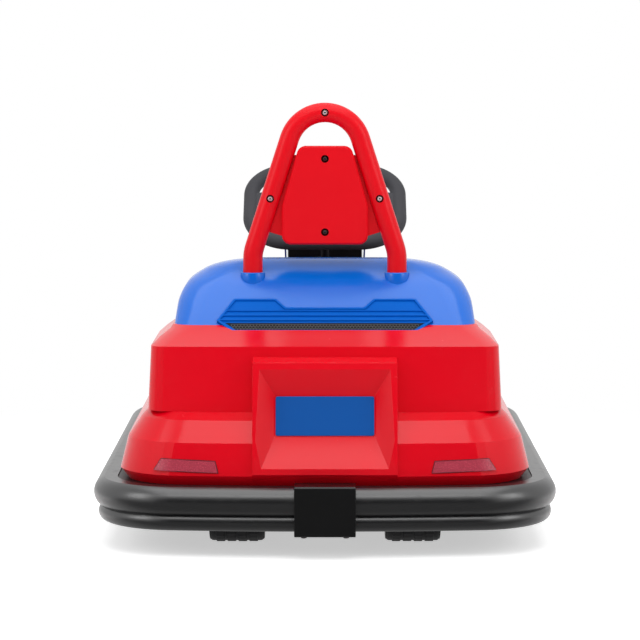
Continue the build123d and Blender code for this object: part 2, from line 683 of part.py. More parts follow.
# Cockpit liner: footwell floor, seat platform and side walls
liner_half_width = cockpit_half_width - FIT
with BuildPart() as cockpit_liner:
    with BuildSketch(Plane.XY.offset(FOOT_FLOOR)):
        with Locations((0, cockpit_middle)):
            RectangleRounded(2 * liner_half_width, cockpit_length, COCKPIT_CORNER - FIT)
    extrude(amount=SILL_TOP - FOOT_FLOOR)
    with BuildSketch(Plane.XY.offset(FOOT_FLOOR + WALL)):
        with Locations((0, (SEAT_FRONT + COCKPIT_FRONT - WALL) / 2)):
            RectangleRounded(2 * (liner_half_width - WALL), COCKPIT_FRONT - WALL - SEAT_FRONT,
                             COCKPIT_CORNER - WALL)
    extrude(amount=SILL_TOP - FOOT_FLOOR, mode=Mode.SUBTRACT)
    with BuildSketch(Plane.XY.offset(SEAT_PLATFORM)):
        with Locations((0, (SEAT_FRONT + COCKPIT_REAR + WALL) / 2)):
            Rectangle(2 * (liner_half_width - WALL), SEAT_FRONT - COCKPIT_REAR - WALL)
    extrude(amount=SILL_TOP - SEAT_PLATFORM, mode=Mode.SUBTRACT)
    with BuildSketch(Plane.XY.offset(FOOT_FLOOR)):
        with Locations((0, (SEAT_FRONT + COCKPIT_REAR) / 2)):
            Rectangle(2 * (liner_half_width - WALL), SEAT_FRONT - COCKPIT_REAR - 2 * WALL)
    extrude(amount=SEAT_PLATFORM - WALL - FOOT_FLOOR, mode=Mode.SUBTRACT)
    with BuildSketch(column_plane):
        Circle(COLUMN_RADIUS + COLUMN_CLEARANCE)
    extrude(amount=wheel_rise, mode=Mode.SUBTRACT)
save(cockpit_liner.part, "cockpit_liner")

# Seat cushions
cushion_length = SEAT_FRONT - COCKPIT_REAR - 6 * CUSHION_MARGIN
with BuildPart() as seat_cushion:
    with BuildSketch(Plane.XY.offset(SEAT_PLATFORM + FIT)):
        with Locations((0, (SEAT_FRONT + COCKPIT_REAR) / 2 + CUSHION_MARGIN)):
            RectangleRounded(2 * CUSHION_HALF_WIDTH, cushion_length, CUSHION_CORNER)
    extrude(amount=CUSHION_THICKNESS)
save(seat_cushion.part, "seat_cushion")

back_pad_height = BACK_PAD_HEIGHTS[1] - BACK_PAD_HEIGHTS[0]
with BuildPart() as seat_back_pad:
    with BuildSketch(Plane.XZ.offset(-TAIL_FRONT - FIT)):
        with Locations((0, BACK_PAD_HEIGHTS[0] + back_pad_height / 2)):
            RectangleRounded(2 * BACK_PAD_HALF_WIDTH, back_pad_height, CUSHION_CORNER)
    extrude(amount=-BACK_PAD_THICKNESS)
save(seat_back_pad.part, "seat_back_pad")

# Nose with the opening for the legs
with BuildPart() as column_clearance:
    with BuildSketch(column_plane):
        Circle(COLUMN_RADIUS + COLUMN_CLEARANCE)
    extrude(amount=wheel_rise)
with BuildPart() as nose_body:
    add(front_tier(NOSE_SECTIONS, 0.0))
    add(front_tier(NOSE_SECTIONS, WALL), mode=Mode.SUBTRACT)
    with BuildSketch(Plane.XZ.offset(-NOSE_REAR + WALL)):
        with Locations((0, (SILL_TOP + LEG_OPENING_TOP) / 2)):
            Rectangle(2 * LEG_OPENING_HALF_WIDTH, LEG_OPENING_TOP - SILL_TOP)
    extrude(amount=-4 * WALL, mode=Mode.SUBTRACT)
    add(column_clearance.part, mode=Mode.SUBTRACT)
save(nose_body.part, "nose_body")

with BuildPart() as hood:
    add(front_tier(HOOD_SECTIONS, 0.0))
    add(front_tier(HOOD_SECTIONS, WALL), mode=Mode.SUBTRACT)
    add(column_clearance.part, mode=Mode.SUBTRACT)
save(hood.part, "hood")

# Grille and headlights follow the front face of the nose
nose_face_plane = Plane.XZ.offset(-(NOSE_REAR + BODY_END) / 2)
with BuildPart() as nose_skin:
    add(front_tier(NOSE_SECTIONS, -LENS_THICKNESS))
    add(front_tier(NOSE_SECTIONS, -LENS_SEAT), mode=Mode.SUBTRACT)
with BuildPart() as nose_grille:
    with BuildSketch(nose_face_plane):
        with Locations((0, GRILLE_Z)):
            RectangleRounded(*GRILLE_SIZE, GRILLE_CORNER)
        for slot_row in range(GRILLE_SLOTS):
            slot_z = GRILLE_Z + (slot_row - (GRILLE_SLOTS - 1) / 2) * GRILLE_PITCH
            with Locations((0, slot_z)):
                SlotOverall(GRILLE_SIZE[0] - 2 * GRILLE_CORNER, GRILLE_SLOT, mode=Mode.SUBTRACT)
    extrude(amount=(NOSE_REAR - BODY_END) / 2)
    add(nose_skin.part, mode=Mode.INTERSECT)
save(nose_grille.part, "nose_grille")

with BuildPart() as headlight_right:
    with BuildSketch(nose_face_plane) as lamp_outline:
        Polygon(*HEADLIGHT_POINTS, align=None)
        fillet(lamp_outline.vertices(), HEADLIGHT_ROUNDING)
    extrude(amount=(NOSE_REAR - BODY_END) / 2)
    add(nose_skin.part, mode=Mode.INTERSECT)
with BuildPart() as headlight_left:
    add(mirror(headlight_right.part, about=Plane.YZ))
save(headlight_right.part, "headlight_right")
save(headlight_left.part, "headlight_left")

# Dash block over the column, with its bearing bore
dash_front = NOSE_REAR - FIT
with BuildPart() as dash_console:
    with BuildSketch(Plane.YZ):
        Polygon(
            (DASH_REAR, DASH_TOP),
            (NOSE_REAR, DASH_TOP),
            (NOSE_REAR + DASH_STEP, HOOD_TOP + FIT),
            (dash_front, HOOD_TOP + FIT),
            (dash_front, HOOD_TOP - 48),
            (DASH_REAR + 16, HOOD_TOP - 26),
            align=None,
        )
    extrude(amount=DASH_HALF_WIDTH, both=True)
    with BuildSketch(column_plane):
        Circle(COLUMN_RADIUS + RUNNING_FIT)
    extrude(amount=wheel_rise, mode=Mode.SUBTRACT)
save(dash_console.part, "dash_console")

# Small clear windscreen on the bonnet
screen_foot = (0, NOSE_REAR + SCREEN_SETBACK, HOOD_TOP + FIT)
screen_plane = Plane(origin=screen_foot, x_dir=(1, 0, 0), z_dir=(0, -1, 0))
screen_height = SCREEN_TOP - HOOD_TOP - FIT
with BuildPart() as windscreen:
    with BuildSketch(screen_plane):
        Polygon(*both_sides(list(zip(SCREEN_HALF_WIDTHS, (0, screen_height)))), align=None)
    extrude(amount=SCREEN_THICKNESS)
save(windscreen.part, "windscreen")

# Steering wheel, hub cap and column
rim_plane = column_plane.offset(wheel_rise)
with BuildPart() as steering_wheel:
    with BuildLine(rim_plane) as rim_path:
        FilletPolyline(
            (-RIM_HALF_WIDTH, -RIM_HALF_HEIGHT),
            (RIM_HALF_WIDTH, -RIM_HALF_HEIGHT),
            (RIM_HALF_WIDTH, RIM_HALF_HEIGHT),
            (-RIM_HALF_WIDTH, RIM_HALF_HEIGHT),
            radius=RIM_CORNER,
            close=True,
        )
    rim_start = rim_plane.from_local_coords(Vector(0, -RIM_HALF_HEIGHT, 0))
    with BuildSketch(Plane(origin=rim_start, x_dir=column_plane.y_dir, z_dir=(1, 0, 0))):
        Ellipse(*RIM_SECTION)
    sweep(path=rim_path.wire())
    with BuildSketch(rim_plane.offset(-HUB_DROP)):
        RectangleRounded(*HUB_SIZE, HUB_CORNER)
        Polygon(*both_sides([
            (HUB_SIZE[0] / 2 - 8, SPOKE_EDGES[0]),
            (RIM_HALF_WIDTH - 4, SPOKE_EDGES[1]),
            (RIM_HALF_WIDTH - 4, SPOKE_EDGES[2]),
            (HUB_SIZE[0] / 2 - 8, SPOKE_EDGES[3]),
        ]), align=None)
        for slit_height in SPOKE_SLITS:
            with Locations((SPOKE_SLIT_X, slit_height), (-SPOKE_SLIT_X, slit_height)):
                SlotOverall(*SPOKE_SLIT_SIZE, mode=Mode.SUBTRACT)
    extrude(amount=HUB_THICKNESS)
    with BuildSketch(rim_plane.offset(-HUB_DROP)):
        Circle(COLUMN_RADIUS)
    extrude(amount=HUB_SOCKET, mode=Mode.SUBTRACT)
save(steering_wheel.part, "steering_wheel")

with BuildPart() as steering_hub_cap:
    with BuildSketch(rim_plane.offset(HUB_THICKNESS - HUB_DROP)):
        RectangleRounded(*HUB_CAP_SIZE, HUB_CAP_CORNER)
    extrude(amount=HUB_CAP_THICKNESS)
    cap_axis = Axis((0, 0, 0), column_plane.z_dir)
    fillet(steering_hub_cap.faces().filter_by(cap_axis).sort_by(Axis.Z)[-1].edges(), HUB_CAP_ROUNDING)
save(steering_hub_cap.part, "steering_hub_cap")

with BuildPart() as steering_column:
    with BuildSketch(column_plane.offset(CRANK_RISE)):
        Circle(COLUMN_RADIUS)
    extrude(amount=wheel_rise - CRANK_RISE - HUB_DROP + HUB_SOCKET)
    with BuildSketch(column_plane.offset(CRANK_RISE)):
        Circle(COLUMN_RADIUS + 2)
        with Locations((0, -CRANK / 2)):
            Rectangle(2 * COLUMN_RADIUS, CRANK)
        with Locations((0, -CRANK)):
            Circle(2 * PIN_RADIUS)
    extrude(amount=CRANK_THICKNESS)
    with BuildSketch(column_plane.offset(-PIN_REACH)):
        with Locations((0, -CRANK)):
            Circle(PIN_RADIUS)
    extrude(amount=CRANK_RISE + PIN_REACH)
save(steering_column.part, "steering_column")

# Tie rod with a slotted plate for the crank pin
plate_middle = tie_rod_y + 3
with BuildPart() as tie_rod:
    with BuildSketch(Plane.XY.offset(TIE_ROD_BOTTOM)):
        with Locations((0, tie_rod_y)):
            Rectangle(2 * KINGPIN_X, TIE_ROD_WIDTH)
        with Locations((0, plate_middle)):
            RectangleRounded(*SLOT_PLATE_SIZE, 2 * PIN_RADIUS)
        with Locations((-KINGPIN_X, tie_rod_y), (KINGPIN_X, tie_rod_y)):
            Circle(PIN_RADIUS + 5)
        with Locations((-KINGPIN_X, tie_rod_y), (KINGPIN_X, tie_rod_y)):
            Circle(PIN_RADIUS + RUNNING_FIT, mode=Mode.SUBTRACT)
        with Locations((0, plate_middle)):
            RectangleRounded(*PIN_SLOT_SIZE, PIN_RADIUS + 1, mode=Mode.SUBTRACT)
    extrude(amount=TIE_ROD_THICKNESS)
save(tie_rod.part, "tie_rod")

# Front axle beam
with BuildPart() as front_axle_beam:
    with BuildSketch(Plane.XY.offset(beam_bottom)):
        with Locations((0, FRONT_AXLE_Y)):
            Rectangle(2 * KINGPIN_X, BEAM_WIDTH)
        with Locations((-KINGPIN_X, FRONT_AXLE_Y), (KINGPIN_X, FRONT_AXLE_Y)):
            Circle(BARREL_RADIUS + 1)
        with Locations((-KINGPIN_X, FRONT_AXLE_Y), (KINGPIN_X, FRONT_AXLE_Y)):
            Circle(KINGPIN_RADIUS + RUNNING_FIT, mode=Mode.SUBTRACT)
    extrude(amount=PAN_FLOOR - beam_bottom)
save(front_axle_beam.part, "front_axle_beam")

# Knuckles, drawn on the right and mirrored
stub_end = FRONT_WHEEL_X + FRONT_WHEEL_WIDTH / 2 + 5
arm_end = TIE_ROD_BOTTOM - 0.5
stub_plane = Plane(origin=(0, FRONT_AXLE_Y, FRONT_WHEEL_RADIUS), x_dir=(0, 1, 0), z_dir=(1, 0, 0))
with BuildPart() as knuckle_right:
    with BuildSketch(Plane.XY.offset(BARREL_BOTTOM)):
        with Locations((KINGPIN_X, FRONT_AXLE_Y)):
            Circle(BARREL_RADIUS)
    extrude(amount=beam_bottom - 0.5 - BARREL_BOTTOM)
    with BuildSketch(Plane.XY.offset(FRONT_WHEEL_RADIUS)):
        with Locations((KINGPIN_X, FRONT_AXLE_Y)):
            Circle(KINGPIN_RADIUS)
    extrude(amount=PAN_FLOOR + KINGPIN_HEAD - FRONT_WHEEL_RADIUS)
    with BuildSketch(Plane.XY.offset(PAN_FLOOR + 0.4)):
        with Locations((KINGPIN_X, FRONT_AXLE_Y)):
            Circle(BARREL_RADIUS - 2)
    extrude(amount=KINGPIN_HEAD)
    with BuildSketch(Plane.XY.offset(BARREL_BOTTOM)):
        with Locations((KINGPIN_X, FRONT_AXLE_Y - STEER_ARM / 2)):
            Rectangle(ARM_WIDTH, STEER_ARM)
        with Locations((KINGPIN_X, tie_rod_y)):
            Circle(2 * PIN_RADIUS)
    extrude(amount=arm_end - BARREL_BOTTOM)
    with BuildSketch(Plane.XY.offset(BARREL_BOTTOM)):
        with Locations((KINGPIN_X, tie_rod_y)):
            Circle(PIN_RADIUS)
    extrude(amount=TIE_ROD_BOTTOM + TIE_ROD_THICKNESS + KINGPIN_HEAD - BARREL_BOTTOM)
    with BuildSketch(stub_plane.offset(KINGPIN_X)):
        Circle(AXLE_RADIUS)
    extrude(amount=stub_end - KINGPIN_X)
    with BuildSketch(stub_plane.offset(stub_end - STUB_NUT)):
        Circle(BARREL_RADIUS)
    extrude(amount=STUB_NUT)
with BuildPart() as knuckle_left:
    add(mirror(knuckle_right.part, about=Plane.YZ))
save(knuckle_right.part, "knuckle_right")
save(knuckle_left.part, "knuckle_left")


def wheel_solid(centre_x, centre_y, radius, width):
    """Blow-moulded wheel with rounded shoulders, dished faces with spokes, and a bore."""
    dish_radius = radius - WHEEL_RIM_WALL
    with BuildPart() as wheel:
        with BuildSketch(Plane.XZ.offset(-centre_y)):
            with Locations((centre_x, radius * 1.5)):
                Rectangle(width, radius)
            with Locations((centre_x, radius + (AXLE_RADIUS + RUNNING_FIT) / 2)):
                Rectangle(width + 1, AXLE_RADIUS + RUNNING_FIT, mode=Mode.SUBTRACT)
        revolve(axis=Axis((centre_x, centre_y, radius), (1, 0, 0)))
        fillet(wheel.edges().filter_by(GeomType.CIRCLE).sort_by(SortBy.RADIUS)[-2:], WHEEL_SHOULDER)
        for face_side in (-1, 1):
            face_plane = Plane(
                origin=(centre_x + face_side * width / 2, centre_y, radius),
                x_dir=(0, 1, 0),
                z_dir=(face_side, 0, 0),
            )
            with BuildSketch(face_plane):
                Circle(dish_radius)
                Circle(WHEEL_HUB_RADIUS, mode=Mode.SUBTRACT)
                with PolarLocations(dish_radius / 2, WHEEL_SPOKES, start_angle=90):
                    Rectangle(dish_radius, WHEEL_SPOKE_WIDTH, mode=Mode.SUBTRACT)
            extrude(amount=-WHEEL_DISH, mode=Mode.SUBTRACT)
    return wheel.part


for side_name, side_sign in (("left", -1), ("right", 1)):
    with BuildPart() as rear_wheel:
        add(wheel_solid(side_sign * REAR_WHEEL_X, REAR_AXLE_Y, REAR_WHEEL_RADIUS, REAR_WHEEL_WIDTH))
    save(rear_wheel.part, f"rear_wheel_{side_name}")
    with BuildPart() as front_wheel:
        add(wheel_solid(side_sign * FRONT_WHEEL_X, FRONT_AXLE_Y, FRONT_WHEEL_RADIUS, FRONT_WHEEL_WIDTH))
    save(front_wheel.part, f"front_wheel_{side_name}")

# Rear axle and the two motor gearboxes
axle_half_length = hanger_x + HANGER_WALL + AXLE_RADIUS
axle_plane = Plane(origin=(0, REAR_AXLE_Y, REAR_WHEEL_RADIUS), x_dir=(0, 1, 0), z_dir=(1, 0, 0))
with BuildPart() as rear_axle:
    with BuildSketch(axle_plane):
        Circle(AXLE_RADIUS)
    extrude(amount=axle_half_length, both=True)
save(rear_axle.part, "rear_axle")

gearbox_outer = REAR_WHEEL_X - REAR_WHEEL_WIDTH / 2 - GEARBOX_GAP
for side_name, side_sign in (("left", -1), ("right", 1)):
    with BuildPart() as gearbox:
        with BuildSketch(Plane.YZ.offset(side_sign * (gearbox_outer - GEARBOX_WIDTH))):
            with Locations((REAR_AXLE_Y, REAR_WHEEL_RADIUS)):
                Circle(GEARBOX_RADIUS)
            Polygon(
                (REAR_AXLE_Y - GEARBOX_RADIUS, REAR_WHEEL_RADIUS),
                (REAR_AXLE_Y, GEARBOX_BOTTOM),
                (REAR_AXLE_Y + GEARBOX_FRONT, GEARBOX_BOTTOM + 8),
                (REAR_AXLE_Y + GEARBOX_FRONT, PAN_FLOOR),
                (REAR_AXLE_Y - GEARBOX_RADIUS, PAN_FLOOR),
                align=None,
            )
            with Locations((REAR_AXLE_Y, REAR_WHEEL_RADIUS)):
                Circle(AXLE_RADIUS + RUNNING_FIT, mode=Mode.SUBTRACT)
        extrude(amount=side_sign * GEARBOX_WIDTH)
        split(bisect_by=Plane.XY.offset(PAN_FLOOR), keep=Keep.BOTTOM)
    save(gearbox.part, f"gearbox_{side_name}")

# Battery under the seat
with BuildPart() as battery_box:
    with BuildSketch(Plane.XY.offset(PAN_FLOOR + WALL)):
        with Locations((0, BATTERY_Y)):
            RectangleRounded(*BATTERY_SIZE[:2], BATTERY_ROUNDING)
    extrude(amount=BATTERY_SIZE[2])
save(battery_box.part, "battery_box")

# Foot pedal on the footwell floor
pedal_floor = FOOT_FLOOR + WALL
with BuildPart() as foot_pedal:
    with BuildSketch(Plane.YZ.offset(PEDAL_X)):
        Polygon(
            (PEDAL_REAR, pedal_floor),
            (PEDAL_REAR + PEDAL_LENGTH, pedal_floor),
            (PEDAL_REAR + PEDAL_LENGTH, pedal_floor + PEDAL_HEIGHT),
            (PEDAL_REAR, pedal_floor + PEDAL_TOE),
            align=None,
        )
    extrude(amount=PEDAL_WIDTH)
save(foot_pedal.part, "foot_pedal")

# Reflectors on the rear of the lower tier
with BuildPart() as reflector_right:
    add(skirt_solid(-REFLECTOR_PROUD))
    add(skirt_solid(0.0), mode=Mode.SUBTRACT)
    with BuildSketch(Plane.XZ):
        Polygon(*REFLECTOR_POINTS, align=None)
    extrude(amount=BODY_END + BUMPER_GAP, mode=Mode.INTERSECT)
with BuildPart() as reflector_left:
    add(mirror(reflector_right.part, about=Plane.YZ))
save(reflector_right.part, "reflector_right")
save(reflector_left.part, "reflector_left")
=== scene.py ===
# %% [markdown]
# # A child's electric go-kart with a soft bumper ring
# This lesson dresses a ready CAD model of a ride-on toy. The CAD gives every size and every joint.
# Blender adds the rounded edges, the soft goods, the small fasteners and the finishes.

# %% Load the CAD frame
import bpy
import bmesh
import json
import math
from mathutils import Matrix, Vector
from mathutils.bvhtree import BVHTree

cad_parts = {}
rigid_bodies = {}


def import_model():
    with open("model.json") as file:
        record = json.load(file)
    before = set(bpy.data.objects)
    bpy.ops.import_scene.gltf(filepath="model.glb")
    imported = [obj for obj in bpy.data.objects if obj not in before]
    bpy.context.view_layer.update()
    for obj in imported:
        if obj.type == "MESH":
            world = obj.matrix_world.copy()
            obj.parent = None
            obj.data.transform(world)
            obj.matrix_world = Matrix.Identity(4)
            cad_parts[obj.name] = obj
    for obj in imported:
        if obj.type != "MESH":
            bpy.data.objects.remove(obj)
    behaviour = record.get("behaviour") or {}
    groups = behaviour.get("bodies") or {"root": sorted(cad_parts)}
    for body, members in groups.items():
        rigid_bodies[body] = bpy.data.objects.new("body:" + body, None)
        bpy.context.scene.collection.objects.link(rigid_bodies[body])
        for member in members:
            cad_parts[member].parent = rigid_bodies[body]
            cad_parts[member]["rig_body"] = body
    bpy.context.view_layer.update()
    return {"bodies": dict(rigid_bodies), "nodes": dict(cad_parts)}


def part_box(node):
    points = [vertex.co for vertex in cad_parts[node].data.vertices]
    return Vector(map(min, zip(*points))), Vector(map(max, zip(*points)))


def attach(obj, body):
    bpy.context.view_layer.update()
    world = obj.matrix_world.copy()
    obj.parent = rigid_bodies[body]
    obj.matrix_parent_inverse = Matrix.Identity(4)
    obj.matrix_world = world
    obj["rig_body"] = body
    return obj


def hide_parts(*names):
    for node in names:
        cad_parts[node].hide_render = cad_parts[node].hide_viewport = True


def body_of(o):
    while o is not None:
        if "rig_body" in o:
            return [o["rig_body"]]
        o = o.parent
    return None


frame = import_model()
print("CAD nodes:", len(frame["nodes"]))

# %% [markdown]
# ## Camera
# The kart is seen from straight behind and a little above. A long lens from four metres keeps the
# lines of the body almost parallel, as in a product picture. The camera stands on the middle plane
# of the kart, and a small shift puts the kart where the picture has it.

# %% Camera
BUMPER_REAR_Y = -0.525
CAMERA_DISTANCE = 3.87
CAMERA_HEIGHT = 0.7295
CAMERA_PITCH = 5.532
SENSOR_WIDTH = 36.0
FOCAL_LENGTH = 151.1
SHIFT_X = -0.0077


def add_object(name, data):
    """A new object in the scene for a camera, a lamp, a curve or a mesh."""
    made = bpy.data.objects.new(name, data)
    bpy.context.scene.collection.objects.link(made)
    return made


camera_data = bpy.data.cameras.new("rear_camera")
camera_data.sensor_width = SENSOR_WIDTH
camera_data.lens = FOCAL_LENGTH
camera_data.shift_x = SHIFT_X
camera = add_object("rear_camera", camera_data)
camera.location = (0.0, BUMPER_REAR_Y - CAMERA_DISTANCE, CAMERA_HEIGHT)
camera.rotation_euler = (math.radians(90.0 - CAMERA_PITCH), 0.0, 0.0)
bpy.context.scene.camera = camera
print("camera at", tuple(round(v, 3) for v in camera.location))

# %% [markdown]
# ## Light, floor and backdrop
# Glossy plastic shows its surroundings, so a studio for it needs large, soft lamps above and beside
# the toy, and a dark room behind the camera, or every red wall would turn pink. The world gives an
# even fill. The Light Path node swaps the world's colour for camera, glossy and transmission rays:
# they see white all round, except that reflections see the dark room behind the camera.

# %% World and lamps
def set_inputs(node, **values):
    """Sets or links inputs of a node by name, with _ for a space, and gives the node back."""
    for key, value in values.items():
        socket = node.inputs[key.replace("_", " ")]
        if isinstance(value, bpy.types.NodeSocket):
            node.id_data.links.new(value, socket)
        else:
            socket.default_value = value
    return node


def any_of(nodes, sockets):
    """The largest of some factors, as one socket."""
    result = sockets[0]
    for socket in sockets[1:]:
        larger = nodes.new("ShaderNodeMath")
        larger.operation = "MAXIMUM"
        larger.id_data.links.new(result, larger.inputs[0])
        larger.id_data.links.new(socket, larger.inputs[1])
        result = larger.outputs[0]
    return result


def map_range(nodes, source, start, end, low=0.0, high=1.0, smooth=False):
    """Maps a socket's numbers from one range to another."""
    made = set_inputs(nodes.new("ShaderNodeMapRange"), Value=source, From_Min=start, From_Max=end,
                      To_Min=low, To_Max=high)
    if smooth:
        made.interpolation_type = "SMOOTHSTEP"
    return made.outputs["Result"]


def mixed(nodes, factor, first, second):
    """Two shaders mixed by a factor, all given as sockets."""
    made = nodes.new("ShaderNodeMixShader")
    for socket, source in zip(made.inputs, (factor, first, second)):
        made.id_data.links.new(source, socket)
    return made.outputs[0]


def white_light(nodes, kind, strength, colour=(1.0, 1.0, 1.0, 1.0)):
    """The socket of a background or an emission of plain white light."""
    return set_inputs(nodes.new(kind), Color=colour, Strength=strength).outputs[0]


DARK_ROOM_EDGE = (-0.92, -0.72)


def studio_world(fill, dark):
    """Even fill light, white to be seen, and a dark room behind the camera in reflections."""
    world = bpy.data.worlds.new("studio")
    world.use_nodes = True
    nodes = world.node_tree.nodes
    nodes.clear()
    direction = set_inputs(nodes.new("ShaderNodeSeparateXYZ"),
                           Vector=nodes.new("ShaderNodeTexCoord").outputs["Generated"])
    room = map_range(nodes, direction.outputs["Y"], *DARK_ROOM_EDGE, dark, 1.0, smooth=True)
    path = nodes.new("ShaderNodeLightPath").outputs
    straight = any_of(nodes, [path["Is Camera Ray"], path["Is Transmission Ray"]])
    light = white_light(nodes, "ShaderNodeBackground", fill)
    seen = white_light(nodes, "ShaderNodeBackground", 1.0, any_of(nodes, [room, straight]))
    by_eye = any_of(nodes, [straight, path["Is Glossy Ray"]])
    set_inputs(nodes.new("ShaderNodeOutputWorld"), Surface=mixed(nodes, by_eye, light, seen))
    bpy.context.scene.world = world


def softbox(name, place, aim, size, watts):
    """A rectangular area lamp at a place, turned to a point."""
    data = bpy.data.lights.new(name, "AREA")
    data.shape = "RECTANGLE"
    data.size, data.size_y = size
    data.energy = watts
    lamp = add_object(name, data)
    lamp.location = place
    lamp.rotation_euler = (Vector(aim) - Vector(place)).to_track_quat("-Z", "Y").to_euler()


studio_world(fill=0.5, dark=0.02)
softbox("top_softbox", (0.0, -0.4, 2.6), (0.0, 0.0, 0.3), (2.6, 2.6), watts=34.0)
softbox("left_softbox", (-2.3, -1.6, 1.5), (0.0, -0.2, 0.3), (1.2, 1.4), watts=16.0)
softbox("right_softbox", (2.3, -1.6, 1.5), (0.0, -0.2, 0.3), (1.2, 1.4), watts=16.0)
softbox("rear_softbox", (0.0, -2.7, 2.9), (0.0, -0.47, 0.18), (3.0, 1.0), watts=24.0)
bpy.context.scene.view_settings.view_transform = "Standard"

# %% [markdown]
# The floor is a wide pale sheet that keeps the kart's soft shadow. Light Path is used here too: a
# camera ray sees the floor a little lighter near the kart and plain white farther away, so that the
# horizon goes. A mirror ray sees the same, but a dim floor behind the bumper, where the dark room
# begins. Diffuse light never takes these paths, so nothing is added to the kart.

# %% Floor
FLOOR_LIFT = 0.52
DIM_FLOOR = 0.25
DIM_FLOOR_EDGE = (-0.55, -0.3)


def studio_floor(size, near, far):
    """A flat pale floor under the kart that fades to white with distance, marked as stage."""
    mesh = bpy.data.meshes.new("studio_floor")
    half = size / 2
    corners = [(-half, -half, 0), (half, -half, 0), (half, half, 0), (-half, half, 0)]
    mesh.from_pydata(corners, [], [(0, 1, 2, 3)])
    floor = add_object("studio_floor", mesh)
    material = bpy.data.materials.new("pale_floor")
    material.use_nodes = True
    nodes = material.node_tree.nodes
    matt = set_inputs(nodes["Principled BSDF"], Base_Color=(0.93, 0.93, 0.93, 1.0),
                      Roughness=0.85, Specular_IOR_Level=0.1).outputs[0]
    lift, white, dim = (white_light(nodes, "ShaderNodeEmission", strength)
                        for strength in (FLOOR_LIFT, 1.0, DIM_FLOOR))
    coords = nodes.new("ShaderNodeTexCoord").outputs["Object"]
    nearby = nodes.new("ShaderNodeAddShader")
    for socket, source in zip(nearby.inputs, (matt, lift)):
        nearby.id_data.links.new(source, socket)
    distance = set_inputs(nodes.new("ShaderNodeVectorMath"), Vector=coords)
    distance.operation = "LENGTH"
    fade = map_range(nodes, distance.outputs["Value"], near, far, smooth=True)
    seen = mixed(nodes, fade, nearby.outputs[0], white)
    axes = set_inputs(nodes.new("ShaderNodeSeparateXYZ"), Vector=coords)
    ahead = map_range(nodes, axes.outputs["Y"], *DIM_FLOOR_EDGE)
    path = nodes.new("ShaderNodeLightPath").outputs
    by_mirror = mixed(nodes, path["Is Glossy Ray"], matt, mixed(nodes, ahead, dim, seen))
    straight = any_of(nodes, [path["Is Camera Ray"], path["Is Transmission Ray"]])
    set_inputs(nodes["Material Output"], Surface=mixed(nodes, straight, by_mirror, seen))
    mesh.materials.append(material)
    return floor


print("floor:", studio_floor(size=24.0, near=0.7, far=1.3).name)

# %% [markdown]
# ## Finishes
# Nearly every part of this toy is blown or injection-moulded plastic. One helper builds all those
# finishes: a base colour that drifts slightly over the panel, a fine moulded grain in the bump, and
# a roughness that changes where it is scuffed. Colours are written as the eye sees them and turned
# to linear.

# %% Helpers for finishes
def linear(red, green, blue):
    """An sRGB colour from 0 to 255 as linear values for a shader."""
    shares = [value / 255.0 for value in (red, green, blue)]
    return tuple(share / 12.92 if share <= 0.04045 else ((share + 0.055) / 1.055) ** 2.4
                 for share in shares) + (1.0,)


def scaled(colour, factor):
    """A linear colour made lighter or darker."""
    return tuple(min(1.0, channel * factor) for channel in colour[:3]) + (1.0,)


class Finish:
    """A material with its node tree, and short ways to add nodes to it."""

    def __init__(self, name):
        """A new material with the usual shader, and Object coordinates for its textures."""
        self.material = bpy.data.materials.new(name)
        self.material.use_nodes = True
        self.nodes = self.material.node_tree.nodes
        self.shader = self.nodes["Principled BSDF"]
        self.coords = self.nodes.new("ShaderNodeTexCoord").outputs["Object"]

    def node(self, kind, **values):
        """Adds a node and sets its inputs by name."""
        return set_inputs(self.nodes.new(kind), **values)

    def noise(self, scale, detail=3.0, roughness=0.55):
        """A noise texture on Object coordinates."""
        return self.node("ShaderNodeTexNoise", Vector=self.coords, Scale=scale, Detail=detail,
                         Roughness=roughness).outputs["Fac"]

    def cells(self, scale, distance="EUCLIDEAN"):
        """Distances in a cell texture on Object coordinates."""
        made = self.node("ShaderNodeTexVoronoi", Vector=self.coords, Scale=scale)
        made.distance = distance
        return made.outputs["Distance"]

    def spread(self, source, low, high, start=0.35, end=0.65):
        """Maps a texture's middle range to a range of numbers."""
        return map_range(self.nodes, source, start, end, low, high)

    def blend(self, factor, first, second):
        """Mixes two colours by a factor socket."""
        made = self.nodes.new("ShaderNodeMix")
        made.data_type = "RGBA"
        set_inputs(made, Factor=factor)
        made.inputs[6].default_value, made.inputs[7].default_value = first, second
        return made.outputs[2]

    def bump(self, height, distance, strength=1.0, under=None):
        """A bump from a height socket, on top of another bump if there is one."""
        made = self.node("ShaderNodeBump", Height=height, Strength=strength, Distance=distance)
        if under is not None:
            set_inputs(made, Normal=under)
        return made.outputs["Normal"]

    def set(self, **values):
        """Sets or links inputs of the shader by name and gives the material."""
        set_inputs(self.shader, **values)
        return self.material


def plastic(name, colour, roughness, grain=0.00006, gloss=0.2, drift=0.05, grain_scale=900.0):
    """Moulded plastic with a fine grain, slow colour drift and a few faint scuffs."""
    finish = Finish(name)
    clouds = finish.noise(7.0, detail=2.0)
    fine = finish.noise(grain_scale, detail=2.0)
    scuffs = finish.noise(60.0, detail=6.0, roughness=0.75)
    darker, paler = scaled(colour, 1.0 - drift), scaled(colour, 1.0 + drift)
    finish.set(Base_Color=finish.blend(clouds, darker, paler))
    finish.set(Roughness=finish.spread(scuffs, roughness, roughness + 0.09, 0.52, 0.72))
    waves = finish.bump(clouds, 0.0006, 0.3)
    finish.set(Normal=finish.bump(fine, grain, 0.6, under=waves))
    return finish.set(Specular_IOR_Level=gloss)


# %% [markdown]
# The body's red and blue are glossy, the bumper is a near-black skinned foam with a satin skin, and
# the seats are a black grained leather cloth. Metal parts below are zinc-plated.

